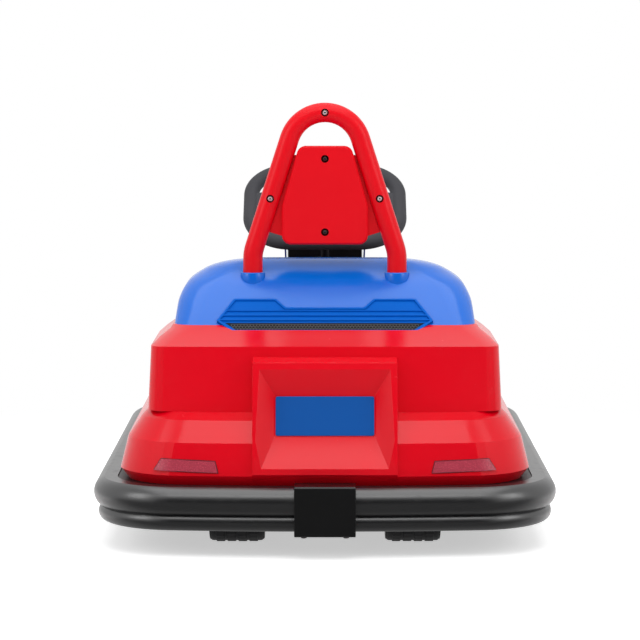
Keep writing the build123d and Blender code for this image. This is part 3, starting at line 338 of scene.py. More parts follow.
# %% Finishes of the kart
red_gloss = plastic("red_gloss", linear(217, 0, 24), 0.2, gloss=0.3)
hoop_red = plastic("hoop_red", linear(222, 2, 22), 0.34, gloss=0.2)
blue_gloss = plastic("blue_gloss", linear(0, 100, 204), 0.18, gloss=0.42)
# The vent panel's blue is darker than the deck's: painted shade for the recess's weaker reflection,
# on a matt finish.
vent_blue_painted_shade = plastic("vent_blue_painted_shade", linear(0, 92, 190), 0.55, gloss=0.06)
plate_blue = plastic("plate_blue_satin", linear(0, 78, 156), 0.4)
black_satin = plastic("black_satin", linear(22, 22, 24), 0.42)
clip_black = plastic("clip_black", linear(7, 7, 8), 0.3, gloss=0.4)
bumper_skin = plastic("bumper_skin", linear(15, 15, 17), 0.3, grain=0.00005, gloss=1.0,
                      grain_scale=420.0)
wheel_black = plastic("wheel_black", linear(28, 28, 30), 0.55, grain=0.00016, grain_scale=500.0)
grip_black = plastic("grip_black", linear(58, 58, 62), 0.6, grain=0.0002, grain_scale=650.0)
lens_rim = plastic("lens_rim", linear(92, 24, 36), 0.4)
# Dark blue for the windscreen's edges: painted shade and dark reflection of a clear sheet's edge.
screen_edge_shade = plastic("screen_edge_shade", linear(18, 34, 110), 0.3)
mesh_grey = plastic("mesh_grey", linear(112, 112, 116), 0.4)
# Black that stands for shade rather than a colour of the toy: painted shade behind the vent mesh,
# in the counterbores and in the screw sockets.
painted_hole_shade = plastic("hole_shade_black", linear(8, 8, 9), 0.7)


def grained_leather(name, colour):
    """Leather cloth: pebbles from a cell texture, soft creases and a satin skin."""
    finish = Finish(name)
    creases = finish.noise(38.0, detail=4.0)
    pebble = finish.spread(finish.cells(420.0), 0.0, 1.0, 0.05, 0.6)
    finish.set(Base_Color=finish.blend(pebble, scaled(colour, 1.2), scaled(colour, 0.8)))
    finish.set(Roughness=finish.spread(creases, 0.42, 0.56))
    folds = finish.bump(creases, 0.0008, 0.35)
    finish.set(Normal=finish.bump(pebble, 0.00035, 0.7, under=folds))
    return finish.set(Specular_IOR_Level=0.35)


leather_black = grained_leather("leather_black", linear(38, 37, 38))
thread_grey = plastic("thread_grey", linear(120, 120, 124), 0.7)


def zinc_plate(name, colour, roughness, metallic=1.0):
    """Zinc-plated steel: metallic, with a fine spangle and dull patches."""
    finish = Finish(name)
    patches = finish.noise(45.0, detail=4.0)
    spangle = finish.spread(finish.cells(260.0), 0.0, 1.0, 0.0, 0.8)
    finish.set(Base_Color=finish.blend(spangle, scaled(colour, 0.82), scaled(colour, 1.08)))
    finish.set(Roughness=finish.spread(patches, roughness, roughness + 0.15))
    finish.set(Normal=finish.bump(patches, 0.0002, 0.4))
    return finish.set(Metallic=metallic)


zinc_steel = zinc_plate("zinc_steel", linear(188, 190, 192), 0.3)
# A lighter, half-metallic copy of the zinc: a painted highlight on the hoop's screw heads, which
# real zinc would not show here.
zinc_painted_highlight = zinc_plate("zinc_painted_highlight", linear(226, 228, 230), 0.25, metallic=0.5)
zinc_dark = zinc_plate("zinc_dark", linear(96, 92, 94), 0.4)


def clear_sheet(name, tint, roughness):
    """Clear polycarbonate: transmission with a faint tint and wiped smears."""
    finish = Finish(name)
    smears = finish.noise(30.0, detail=3.0)
    finish.set(Roughness=finish.spread(smears, roughness, roughness + 0.05))
    finish.set(Base_Color=finish.blend(smears, tint, scaled(tint, 0.97)))
    return finish.set(Transmission_Weight=1.0, IOR=1.49)


clear_screen = clear_sheet("clear_screen", linear(236, 240, 242), 0.02)


def reflector_lens(name, colour):
    """Pink-mauve reflector: a grid of small cube corners under a smooth face."""
    finish = Finish(name)
    corners = finish.cells(520.0, "MANHATTAN")
    facets = finish.spread(corners, 0.0, 1.0, 0.05, 0.7)
    finish.set(Base_Color=finish.blend(facets, scaled(colour, 1.15), scaled(colour, 0.72)))
    finish.set(Normal=finish.bump(corners, 0.0005, 0.5))
    return finish.set(Roughness=0.22, Coat_Weight=0.6)


reflector_mauve = reflector_lens("reflector_mauve", linear(196, 62, 84))
print("finishes:", len(bpy.data.materials))

# %% [markdown]
# ## Dress the CAD nodes
# A CAD solid whose shape is right keeps its mesh and only gets a finish. The table below names the
# finish of each node.

# %% Finishes by node
NODES_OF_FINISH = (
    (bumper_skin, "bumper_right bumper_left"),
    (clip_black, "bumper_clip_rear bumper_clip_front"),
    (black_satin, "chassis_pan cockpit_liner nose_grille dash_console steering_column "
                  "front_axle_beam gearbox_left gearbox_right battery_box"),
    (red_gloss, "plate_pod body_skirt tail_body nose_body"),
    (plate_blue, "tail_plate"),
    (blue_gloss, "tail_deck hood steering_hub_cap"),
    (vent_blue_painted_shade, "vent_panel"),
    # The vent's backing is black: painted shade of the slot behind the mesh.
    (painted_hole_shade, "vent_mesh"),
    (hoop_red, "seat_hoop backrest_cover"),
    (leather_black, "backrest_pad seat_cushion seat_back_pad"),
    (clear_screen, "headlight_right headlight_left windscreen"),
    (grip_black, "steering_wheel foot_pedal"),
    (zinc_steel, "tie_rod knuckle_right knuckle_left rear_axle"),
    (wheel_black, "rear_wheel_left rear_wheel_right front_wheel_left front_wheel_right"),
    (reflector_mauve, "reflector_right reflector_left"),
)
FINISH_OF_NODE = {name: finish for finish, names in NODES_OF_FINISH for name in names.split()}


def dress(piece, material):
    """Puts one material in all of a piece's slots."""
    if not piece.material_slots:
        piece.data.materials.append(material)
    for material_slot in piece.material_slots:
        material_slot.material = material


for node_name, node in frame["nodes"].items():
    dress(node, FINISH_OF_NODE[node_name])
print("dressed nodes:", len(frame["nodes"]))

# %% [markdown]
# ## Rounded edges
# A moulded part never has a knife edge. The smaller parts start from a copy of the CAD solid: its
# loose triangles are merged, flat neighbours are dissolved into one face, and a bevel rolls every
# crease over. Starting from the solid keeps every size, and the bevel alone changes the look.

# %% Rounded copies of the smaller parts
MERGE_DISTANCE = 0.00002
FLAT_ANGLE = 0.6


def body_name(node_name):
    """The body that a CAD node rides on."""
    for name, body in frame["bodies"].items():
        if frame["nodes"][node_name].parent == body:
            return name
    return "chassis"


def link(mesh, name, material):
    """A new object at the origin for a finished mesh."""
    mesh.materials.clear()
    mesh.materials.append(material)
    return add_object(name, mesh)


def settle(piece):
    """Applies all modifiers of a piece and leaves a plain mesh."""
    graph = bpy.context.evaluated_depsgraph_get()
    mesh = bpy.data.meshes.new_from_object(piece.evaluated_get(graph))
    piece.modifiers.clear()
    old = piece.data
    piece.data = mesh
    bpy.data.meshes.remove(old)
    return piece


def node_mesh(node_name):
    """A copy of a CAD node's mesh, in the shared frame."""
    source = frame["nodes"][node_name]
    mesh = source.data.copy()
    mesh.transform(source.matrix_world)
    return mesh


def merge_loose(mesh, dissolve=False):
    """Joins the loose triangles of a mesh and, if asked, dissolves flat neighbours."""
    work = bmesh.new()
    work.from_mesh(mesh)
    bmesh.ops.remove_doubles(work, verts=work.verts, dist=MERGE_DISTANCE)
    if dissolve:
        bmesh.ops.dissolve_limit(work, angle_limit=math.radians(FLAT_ANGLE), verts=work.verts,
                                 edges=work.edges)
    work.to_mesh(mesh)
    work.free()


def smooth_faces(mesh):
    """Shades all faces of a mesh smooth."""
    for face in mesh.polygons:
        face.use_smooth = True


def roll_edges(piece, width, segments, angle):
    """A bevel over every edge that is sharper than an angle in degrees."""
    bevel = piece.modifiers.new("round", "BEVEL")
    bevel.width = width
    bevel.segments = segments
    bevel.limit_method = "ANGLE"
    bevel.angle_limit = math.radians(angle)


def rounded_copy(node_name, width, segments=3, angle=22.0):
    """A copy of a CAD node with its creases rolled over, standing for that node."""
    mesh = node_mesh(node_name)
    merge_loose(mesh, dissolve=True)
    smooth_faces(mesh)
    piece = link(mesh, node_name + "_rounded", FINISH_OF_NODE[node_name])
    roll_edges(piece, width, segments, angle)
    weighted = piece.modifiers.new("normals", "WEIGHTED_NORMAL")
    weighted.keep_sharp = True
    settle(piece)
    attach(piece, body_name(node_name))
    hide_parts(node_name)
    return piece


WIDTH_OF_ROUNDING = {
    "plate_pod": 0.0025, "bumper_clip_rear": 0.0012, "bumper_clip_front": 0.0012,
    "tail_plate": 0.0006, "dash_console": 0.004, "backrest_cover": 0.003, "foot_pedal": 0.002,
    "gearbox_left": 0.003, "gearbox_right": 0.003, "vent_panel": 0.0006,
    "steering_hub_cap": 0.001,
}
for rounded_name, rounded_width in WIDTH_OF_ROUNDING.items():
    rounded_copy(rounded_name, rounded_width)
print("rounded pieces:", len(WIDTH_OF_ROUNDING))

# %% [markdown]
# ## The body shells
# The red and blue shells are blow-moulded, and light runs over them in long clean bands. That needs
# even faces, so each shell is built again from the levels of the CAD loft: a closed plan outline at
# every level, with the same number of points, and quads from level to level. A Solidify modifier
# gives the wall its thickness, Boolean cuts the openings, and a Bevel rolls over each crease.

# %% Plan outlines and shells
HALF_WIDTH = 0.3085
BODY_END = 0.485
BOW_RADIUS = 2.2
WALL = 0.004
SHELL_CREASE = 8.5
CORNER_STEPS = 10
END_STEPS = 8


def bow(x):
    """How far a bowed end falls back at a distance from the middle."""
    return BOW_RADIUS - math.sqrt(BOW_RADIUS ** 2 - x ** 2)


def plan_ring(height, half_width, rear, front, rear_corner, front_corner, rear_bow=False,
              front_bow=False):
    """Points of a rounded rectangle at a height, with ends that may bow out gently."""
    points = []
    corners = (
        (half_width - front_corner, front - front_corner, front_corner, 0.0),
        (front_corner - half_width, front - front_corner, front_corner, 90.0),
        (rear_corner - half_width, rear + rear_corner, rear_corner, 180.0),
        (half_width - rear_corner, rear + rear_corner, rear_corner, 270.0),
    )
    for number, (x, y, radius, start) in enumerate(corners):
        for step in range(CORNER_STEPS + 1):
            angle = math.radians(start + 90.0 * step / CORNER_STEPS)
            points.append([x + radius * math.cos(angle), y + radius * math.sin(angle)])
        if number in (0, 2):
            first = Vector(points[-1])
            last = Vector((-first.x, first.y))
            points += [list(first.lerp(last, step / END_STEPS)) for step in range(1, END_STEPS)]
    for point in points:
        if rear_bow and point[1] < (rear + front) / 2:
            point[1] += bow(point[0])
        if front_bow and point[1] > (rear + front) / 2:
            point[1] -= bow(point[0])
    return [Vector((x, y, height)) for x, y in points]


def join_rows(work, low, high):
    """Quads between two closed rows of vertices."""
    for step in range(len(low)):
        after = (step + 1) % len(low)
        work.faces.new((low[step], low[after], high[after], high[step]))


def mesh_of(name, work):
    """A new mesh from finished edit work."""
    mesh = bpy.data.meshes.new(name)
    work.to_mesh(mesh)
    work.free()
    return mesh


def lofted_mesh(name, rings, capped):
    """Quads between rings of equal length, with one cap face over the last ring if capped."""
    work = bmesh.new()
    rows = [[work.verts.new(point) for point in ring] for ring in rings]
    for low, high in zip(rows, rows[1:]):
        join_rows(work, low, high)
    if capped:
        work.faces.new(rows[-1])
    bmesh.ops.recalc_face_normals(work, faces=work.faces)
    first = work.faces[:][0]
    centre = first.calc_center_median()
    if first.normal.dot(Vector((centre.x, 0.0, centre.z))) < 0:
        bmesh.ops.reverse_faces(work, faces=work.faces)
    return mesh_of(name, work)


def block(name, near, far):
    """A closed block between two outlines of equal length, used only to cut openings."""
    work = bmesh.new()
    low, high = ([work.verts.new(point) for point in outline] for outline in (near, far))
    work.faces.new(low)
    work.faces.new(high)
    join_rows(work, low, high)
    bmesh.ops.recalc_face_normals(work, faces=work.faces)
    return mesh_of(name, work)


def outline_block(name, origin, up, normal, points, start, depth):
    """A straight block on a slanted outline."""
    base = Vector(origin) + Vector(normal) * start
    near = [base + Vector((x, 0, 0)) + Vector(up) * y for x, y in points]
    return block(name, near, [point + Vector(normal) * depth for point in near])


def mirrored(points):
    """Right-hand points of an outline, then their mirror images."""
    return list(points) + [(-x, y) for x, y in reversed(points)]


def finish_shell(name, rings, node_name, width, cutters, capped=True):
    """A lofted shell with its wall, openings and rolled edges, standing for a CAD node."""
    mesh = lofted_mesh(name, rings, capped)
    piece = link(mesh, name, FINISH_OF_NODE[node_name])
    wall = piece.modifiers.new("wall", "SOLIDIFY")
    wall.thickness = WALL
    wall.offset = -1.0
    for number, cutter_mesh in enumerate(cutters):
        cut = piece.modifiers.new("opening_%d" % number, "BOOLEAN")
        cut.operation = "DIFFERENCE"
        cut.solver = "EXACT"
        cut.object = add_object("cutter", cutter_mesh)
    roll_edges(piece, width, 3, SHELL_CREASE)
    weighted = piece.modifiers.new("normals", "WEIGHTED_NORMAL")
    weighted.weight = 100
    smooth_faces(mesh)
    settle(piece)
    for cutter_mesh in cutters:
        bpy.data.meshes.remove(cutter_mesh)
    smooth_faces(piece.data)
    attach(piece, body_name(node_name))
    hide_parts(node_name)
    print(name, "faces:", len(piece.data.polygons))
    return piece


print("shell wall:", WALL)


# %% [markdown]
# The pad with the plate and the framed vent fill two openings at the rear. Their outlines are the
# same as in the CAD, seen from the side for the pad and on its own slant for the vent.

# %% Cutters for the pad and the vent
VENT_ORIGIN = Vector((0.0, -0.366, 0.322))
VENT_UP = Vector((0.0, 0.77384, 0.63338))
VENT_NORMAL = Vector((0.0, -0.63338, 0.77384))
VENT_OUTLINE = mirrored([(0.1396, 0.0), (0.164, 0.0237), (0.1386, 0.071), (0.0745, 0.071),
                         (0.0593, 0.052)])
POD_HALF_WIDTH = 0.107
POD_SIDE = [(-0.4525, 0.284), (-0.4845, 0.172), (-0.4875, 0.122), (-0.4755, 0.110),
            (-0.424, 0.110), (-0.424, 0.284)]


def pod_block():
    """The block that the pad fills, seen from the side and as wide as the pad."""
    left, right = ([(x, y, z) for y, z in POD_SIDE] for x in (-POD_HALF_WIDTH, POD_HALF_WIDTH))
    return block("pod_block", left, right)


def vent_block():
    """The block that the frame of the vent fills, on its slant."""
    return outline_block("vent_block", VENT_ORIGIN, VENT_UP, VENT_NORMAL, VENT_OUTLINE,
                         start=-0.012, depth=0.052)


print("corners of the pad and vent:", len(POD_SIDE), len(VENT_OUTLINE))

# %% [markdown]
# The nose is open towards the cockpit, for the legs, and the steering column runs down through the
# bonnet and the nose, so those two shells get a box and a slanted bore taken out.

# %% Cutters for the legs and the column
LEG_OUTLINE = [(0.210, 0.2065), (0.210, 0.276), (-0.210, 0.276), (-0.210, 0.2065)]
LEG_WALL_Y = 0.170
BORE_RADIUS = 0.0100
BORE_SIDES = 24
BORE_START = (0.0, 0.0172, 0.490)
COLUMN_AXIS = (0.0, 0.5878, -0.8090)
COLUMN_UP = (0.0, 0.8090, 0.5878)


def leg_block():
    """The opening for the legs in the rear wall of the nose."""
    return outline_block("leg_block", (0.0, LEG_WALL_Y, 0.0), (0.0, 0.0, 1.0), (0.0, -1.0, 0.0),
                         LEG_OUTLINE, start=0.0, depth=0.040)


def column_bore():
    """A slanted round bore along the steering column."""
    turns = [math.radians(360.0 / BORE_SIDES * step) for step in range(BORE_SIDES)]
    circle = [(BORE_RADIUS * math.cos(turn), BORE_RADIUS * math.sin(turn)) for turn in turns]
    return outline_block("column_bore", BORE_START, COLUMN_UP, COLUMN_AXIS, circle,
                         start=0.10, depth=0.30)


print("corners of the leg opening:", len(LEG_OUTLINE))

# %% [markdown]
# The lower tier goes all round: a short tuck-under, an upright band, a sloping band and a shelf
# that ends at the cockpit opening. The two upper tiers and their blue lids are closed at the top. A
# row of a table holds a height, how far the sides and the end stand in, and the corner's radius.
# Where an upper tier stands on the shelf, its end is bowed like the tier below.

# %% Red and blue shells
SHELF_Z = 0.2085
SKIRT_LEVELS = [(0.104, 0.011, 0.011, 0.084), (0.119, 0.0, 0.0, 0.092),
                (0.167, 0.012, 0.006, 0.088), (0.1985, 0.033, 0.023, 0.074),
                (SHELF_Z, 0.0425, 0.043, 0.056)]
TAIL_LEVELS = [(SHELF_Z, 0.0435, 0.045, 0.026), (0.305, 0.0485, 0.061, 0.024),
               (0.316, 0.061, 0.096, 0.028), (0.325, 0.074, 0.120, 0.030),
               (0.330, 0.0775, 0.134, 0.032)]
DECK_LEVELS = [(0.330, 0.0795, 0.136, 0.034), (0.346, 0.081, 0.153, 0.040),
               (0.366, 0.0845, 0.176, 0.044), (0.388, 0.0965, 0.203, 0.046),
               (0.403, 0.117, 0.226, 0.044), (0.412, 0.137, 0.243, 0.032),
               (0.418, 0.165, 0.258, 0.022), (0.421, 0.202, 0.270, 0.013)]
NOSE_LEVELS = [(SHELF_Z, 0.0435, 0.045, 0.030), (0.262, 0.0485, 0.057, 0.030),
               (0.280, 0.059, 0.092, 0.030), (0.290, 0.0715, 0.114, 0.032)]
HOOD_LEVELS = [(0.290, 0.0745, 0.116, 0.034), (0.308, 0.0785, 0.134, 0.042),
               (0.328, 0.0875, 0.158, 0.048), (0.346, 0.1055, 0.188, 0.050),
               (0.358, 0.1355, 0.222, 0.046), (0.366, 0.1835, 0.256, 0.036)]
COCKPIT_EDGE = (SHELF_Z, 0.236, -0.1843, 0.4023, 0.030, 0.030)
REAR_TIERS_FRONT = -0.188
NOSE_REAR = 0.150
TIGHT_CORNER = 0.006
DOME_STEPS = 4


def smooth_levels(levels, steps):
    """More levels between those of a dome, on a smooth curve through them."""
    result = []
    for number in range(len(levels) - 1):
        before = levels[max(number - 1, 0)]
        here, after = levels[number], levels[number + 1]
        beyond = levels[min(number + 2, len(levels) - 1)]
        for step in range(steps):
            t = step / steps
            result.append([0.5 * (2 * b + (c - a) * t + (2 * a - 5 * b + 4 * c - d) * t * t
                                  + (3 * b - a - 3 * c + d) * t ** 3)
                           for a, b, c, d in zip(before, here, after, beyond)])
    return result + [levels[-1]]


def rear_rings(levels):
    """Rings of a rear tier or lid, from its tail end to the seat."""
    return [plan_ring(z, HALF_WIDTH - side, end - BODY_END, REAR_TIERS_FRONT, corner,
                      TIGHT_CORNER, z == SHELF_Z)
            for z, side, end, corner in levels]


def front_rings(levels):
    """Rings of the nose or the bonnet, from the cockpit to its front end."""
    return [plan_ring(z, HALF_WIDTH - side, NOSE_REAR, BODY_END - end, TIGHT_CORNER, corner,
                      False, z == SHELF_Z)
            for z, side, end, corner in levels]


skirt_rings = [plan_ring(z, HALF_WIDTH - side, end - BODY_END, BODY_END - end, corner, corner,
                         True, True)
               for z, side, end, corner in SKIRT_LEVELS]
skirt_rings.append(plan_ring(*COCKPIT_EDGE))
finish_shell("skirt_shell", skirt_rings, "body_skirt", 0.003, [pod_block()], capped=False)
finish_shell("tail_shell", rear_rings(TAIL_LEVELS), "tail_body", 0.004,
             [pod_block(), vent_block()])
finish_shell("nose_shell", front_rings(NOSE_LEVELS), "nose_body", 0.004,
             [leg_block(), column_bore()])
finish_shell("hood_shell", front_rings(smooth_levels(HOOD_LEVELS, DOME_STEPS)), "hood", 0.003,
             [column_bore()])
finish_shell("deck_shell", rear_rings(smooth_levels(DECK_LEVELS, DOME_STEPS)), "tail_deck", 0.0025,
             [vent_block()])

# %% [markdown]
# ## Small parts that repeat
# Screw heads, bolt heads, tyre blocks and stitches are all one small solid set down many times. A
# Geometry Nodes tree does that: it reads points, a turn and a size for each, and sets a frustum on
# every point. Sides, radii and height are inputs, so one tree serves them all. A second tree sets
# thin rings, for the mesh in the vent. Both end in Realize Instances and Set Material, and the
# result is turned into a plain mesh.

# %% Trees that set studs and rings on points
def points_tree(name, sizes):
    """A tree that takes points, sides, some sizes and a material, and its input node."""
    tree = bpy.data.node_groups.new(name, "GeometryNodeTree")
    tree.interface.new_socket("Geometry", in_out="OUTPUT", socket_type="NodeSocketGeometry")
    kinds = {"Geometry": "NodeSocketGeometry", "Sides": "NodeSocketInt"}
    kinds.update({size: "NodeSocketFloat" for size in sizes})
    kinds["Material"] = "NodeSocketMaterial"
    for socket_name, kind in kinds.items():
        tree.interface.new_socket(socket_name, in_out="INPUT", socket_type=kind)
    return tree, tree.nodes.new("NodeGroupInput")


def read_attribute(tree, name, kind):
    """A node that reads a stored attribute of the points."""
    reader = tree.nodes.new("GeometryNodeInputNamedAttribute")
    reader.data_type = kind
    reader.inputs["Name"].default_value = name
    return [socket for socket in reader.outputs if socket.enabled and socket.name == "Attribute"][0]


def set_on_points(tree, ends, shape):
    """Instances a shape on the points with their own turn and size, realised, with one material."""
    links = tree.links
    place = tree.nodes.new("GeometryNodeInstanceOnPoints")
    links.new(ends.outputs["Geometry"], place.inputs["Points"])
    links.new(shape, place.inputs["Instance"])
    links.new(read_attribute(tree, "turn", "FLOAT_VECTOR"), place.inputs["Rotation"])
    links.new(read_attribute(tree, "size", "FLOAT"), place.inputs["Scale"])
    real = tree.nodes.new("GeometryNodeRealizeInstances")
    links.new(place.outputs["Instances"], real.inputs["Geometry"])
    paint = tree.nodes.new("GeometryNodeSetMaterial")
    links.new(real.outputs["Geometry"], paint.inputs["Geometry"])
    links.new(ends.outputs["Material"], paint.inputs["Material"])
    done = tree.nodes.new("NodeGroupOutput")
    links.new(paint.outputs["Geometry"], done.inputs["Geometry"])


def stud_tree():
    """Frustums with a number of sides, two radii and a height, standing on points."""
    tree, ends = points_tree("studs_on_points", ("Foot Radius", "Head Radius", "Height"))
    cone = tree.nodes.new("GeometryNodeMeshCone")
    for outer, inner in (("Sides", "Vertices"), ("Foot Radius", "Radius Bottom"),
                         ("Head Radius", "Radius Top"), ("Height", "Depth")):
        tree.links.new(ends.outputs[outer], cone.inputs[inner])
    set_on_points(tree, ends, cone.outputs["Mesh"])
    return tree


def ring_tree():
    """Open rings with a number of sides, made from a circle and a thin wire, on points."""
    tree, ends = points_tree("rings_on_points", ("Radius", "Wire Radius"))
    loop = tree.nodes.new("GeometryNodeCurvePrimitiveCircle")
    tree.links.new(ends.outputs["Sides"], loop.inputs["Resolution"])
    tree.links.new(ends.outputs["Radius"], loop.inputs["Radius"])
    strand = tree.nodes.new("GeometryNodeCurvePrimitiveCircle")
    strand.inputs["Resolution"].default_value = 4
    tree.links.new(ends.outputs["Wire Radius"], strand.inputs["Radius"])
    tube = tree.nodes.new("GeometryNodeCurveToMesh")
    tree.links.new(loop.outputs["Curve"], tube.inputs["Curve"])
    tree.links.new(strand.outputs["Curve"], tube.inputs["Profile Curve"])
    set_on_points(tree, ends, tube.outputs["Mesh"])
    return tree


def grow(name, tree, places, values, material, body, round_width=0.0):
    """Points at places (point, outward direction, spin, size), dressed by a tree."""
    mesh = bpy.data.meshes.new(name)
    mesh.from_pydata([tuple(place[0]) for place in places], [], [])
    mesh.attributes.new("turn", "FLOAT_VECTOR", "POINT")
    mesh.attributes.new("size", "FLOAT", "POINT")
    for number, (point, direction, spin, size) in enumerate(places):
        facing = Vector(direction).to_track_quat("Z", "Y")
        facing = facing @ Matrix.Rotation(spin, 3, "Z").to_quaternion()
        mesh.attributes["turn"].data[number].vector = tuple(facing.to_euler())
        mesh.attributes["size"].data[number].value = size
    piece = add_object(name, mesh)
    modifier = piece.modifiers.new("pattern", "NODES")
    modifier.node_group = tree
    inputs = {item.name: item.identifier for item in tree.interface.items_tree
              if item.item_type == "SOCKET" and item.in_out == "INPUT"}
    for key, value in dict(values, Material=material).items():
        modifier[inputs[key]] = value
    settle(piece)
    if round_width:
        roll_edges(piece, round_width, 2, 35.0)
        settle(piece)
    piece.data.materials.clear()
    piece.data.materials.append(material)
    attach(piece, body)
    print(name, "faces:", len(piece.data.polygons))
    return piece


studs = stud_tree()
rings = ring_tree()
print("trees:", studs.name, rings.name)

# %% [markdown]
# Three screws hold the backrest to the hoop and two hold its red cover. Each is a zinc pan head on
# a washer, low in a counterbore.
# The washer, a small hexagon on the head and a thin disc in the bore are black: painted shade of
# the counterbore and of the head's socket.
# Two bolts hold each bumper clip from below.

# %% Screws and bolts
REARWARD = (0.0, -1.0, 0.0)
DOWNWARD = (0.0, 0.0, -1.0)
HOOP_SCREWS = [(-0.084, -0.2752, 0.5175), (0.084, -0.2752, 0.5175), (0.0, -0.2752, 0.6492)]
COVER_SCREWS = [(0.0, -0.2722, 0.5785), (0.0, -0.2722, 0.466)]
HOOP_BODY = body_name("seat_hoop")


def stud(sides, foot, head, height):
    """Values for the stud tree: sides, the radii of its foot and head, and its height."""
    return {"Sides": sides, "Foot Radius": foot, "Head Radius": head, "Height": height}


def facing_rear(points, proud, spin=0.0):
    """Places for studs that face the rear, so far proud of a list of points."""
    return [(Vector(point) - Vector((0, proud, 0)), REARWARD, spin, 1.0) for point in points]


def screws(name, points, material, washer):
    """Pan heads on washers at points that face the rear; the washers and a hexagon on each head are
    black, painted shade of bore and socket.
    """
    grow(name + "_washers", studs, facing_rear(points, 0.0), stud(20, 0.0054, 0.0052, 0.0008),
         washer, HOOP_BODY)
    grow(name + "_heads", studs, facing_rear(points, 0.0008), stud(16, 0.0042, 0.0026, 0.0022),
         material, HOOP_BODY, 0.0006)
    grow(name + "_socket_shades", studs, facing_rear(points, 0.0021, 0.2),
         stud(6, 0.0013, 0.0013, 0.0011), painted_hole_shade, HOOP_BODY)


# The hoop's screw heads use the lighter zinc, a painted highlight.
screws("hoop_screw", HOOP_SCREWS, zinc_painted_highlight, painted_hole_shade)
screws("cover_screw", COVER_SCREWS, zinc_dark, painted_hole_shade)
# A thin black disc in each bore is painted shade of the counterbore.
grow("bore_shade_discs", studs, facing_rear(HOOP_SCREWS + COVER_SCREWS, -0.0002),
     stud(24, 0.0059, 0.0059, 0.0002), painted_hole_shade, HOOP_BODY)

for end, reach in (("rear", -0.515), ("front", 0.515)):
    bolts = [(Vector((across, reach, 0.0364)), DOWNWARD, 0.3, 1.0) for across in (-0.031, 0.031)]
    grow("clip_bolts_" + end, studs, bolts, stud(6, 0.0048, 0.0044, 0.0032), zinc_dark,
         body_name("bumper_clip_" + end), 0.0004)

# %% [markdown]
# The slot of the vent is closed by a hexagonal mesh. Its cells lie on a staggered grid, cut off at
# the slanted ends of the slot.

# %% Vent mesh
CELL = 0.0048
SLOT_FOOT, SLOT_RISE = 0.0046, 0.0159
SLOT_FOOT_REACH, SLOT_TOP_REACH = 0.133, 0.151
MESH_DEPTH = 0.0022
mesh_places = []
for row in range(5):
    rise = SLOT_FOOT + CELL * 0.43 + row * CELL * 0.866
    widening = (SLOT_TOP_REACH - SLOT_FOOT_REACH) * (rise - SLOT_FOOT) / SLOT_RISE
    if rise > SLOT_FOOT + SLOT_RISE - CELL * 0.3:
        break
    for column in range(-40, 41):
        across = (column + 0.5 * (row % 2)) * CELL
        if abs(across) < SLOT_FOOT_REACH + widening - CELL * 0.5:
            point = VENT_ORIGIN + VENT_UP * rise + VENT_NORMAL * -MESH_DEPTH
            point += Vector((across, 0, 0))
            mesh_places.append((point, VENT_NORMAL, math.radians(30.0), 1.0))
grow("vent_cells", rings, mesh_places, {"Sides": 6, "Radius": CELL * 0.577, "Wire Radius": 0.00042},
     mesh_grey, body_name("vent_mesh"))

# %% [markdown]
# ## Turned and bent parts
# Two collars on the deck hold the hoop's feet. A collar is a turned part, so its half section is
# spun about its axis. Thin edges, such as the rim of a reflector, are wires on a closed path.

# %% Collars, rims and edges
def turned(name, section, centre, material, body, steps=40):
    """A closed half section of (radius, height) spun about an upright axis."""
    work = bmesh.new()
    rows = []
    for step in range(steps):
        angle = 2.0 * math.pi * step / steps
        rows.append([work.verts.new((centre[0] + radius * math.cos(angle),
                                     centre[1] + radius * math.sin(angle), height))
                     for radius, height in section])
    for row, after in zip(rows, rows[1:] + rows[:1]):
        join_rows(work, after, row)
    bmesh.ops.recalc_face_normals(work, faces=work.faces)
    piece = link(mesh_of(name, work), name, material)
    roll_edges(piece, 0.0012, 2, 30.0)
    smooth_faces(piece.data)
    settle(piece)
    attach(piece, body)
    return piece


def wire(name, points, radius, material, body, closed=True):
    """A thin round wire along points, as a plain mesh."""
    curve = bpy.data.curves.new(name, "CURVE")
    curve.dimensions = "3D"
    curve.bevel_depth = radius
    curve.bevel_resolution = 2
    curve.use_fill_caps = True
    line = curve.splines.new("POLY")
    line.points.add(len(points) - 1)
    for place, point in zip(line.points, points):
        place.co = (*point, 1.0)
    line.use_cyclic_u = closed
    helper = add_object(name, curve)
    graph = bpy.context.evaluated_depsgraph_get()
    mesh = bpy.data.meshes.new_from_object(helper.evaluated_get(graph))
    bpy.data.objects.remove(helper)
    smooth_faces(mesh)
    piece = link(mesh, name, material)
    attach(piece, body)
    return piece


DECK_BODY = body_name("tail_deck")
COLLAR_SECTION = [(0.0153, 0.378), (0.0190, 0.378), (0.0190, 0.404), (0.0153, 0.404)]
SIDES = (("right", 1.0), ("left", -1.0))
for side, sign in SIDES:
    turned("hoop_collar_" + side, COLLAR_SECTION, (sign * 0.111, -0.265), blue_gloss, DECK_BODY)


def skirt_rear(x, z):
    """Rear face of the lower tier's upright band at a place, with its bow and corner."""
    foot, head = SKIRT_LEVELS[1:3]
    share = (z - foot[0]) / (head[0] - foot[0])
    side, end, corner = (a + (b - a) * share for a, b in zip(foot[1:], head[1:]))
    past = max(abs(x) - (HALF_WIDTH - side - corner), 0.0)
    return end - BODY_END + corner - math.sqrt(corner ** 2 - past ** 2) + bow(x)


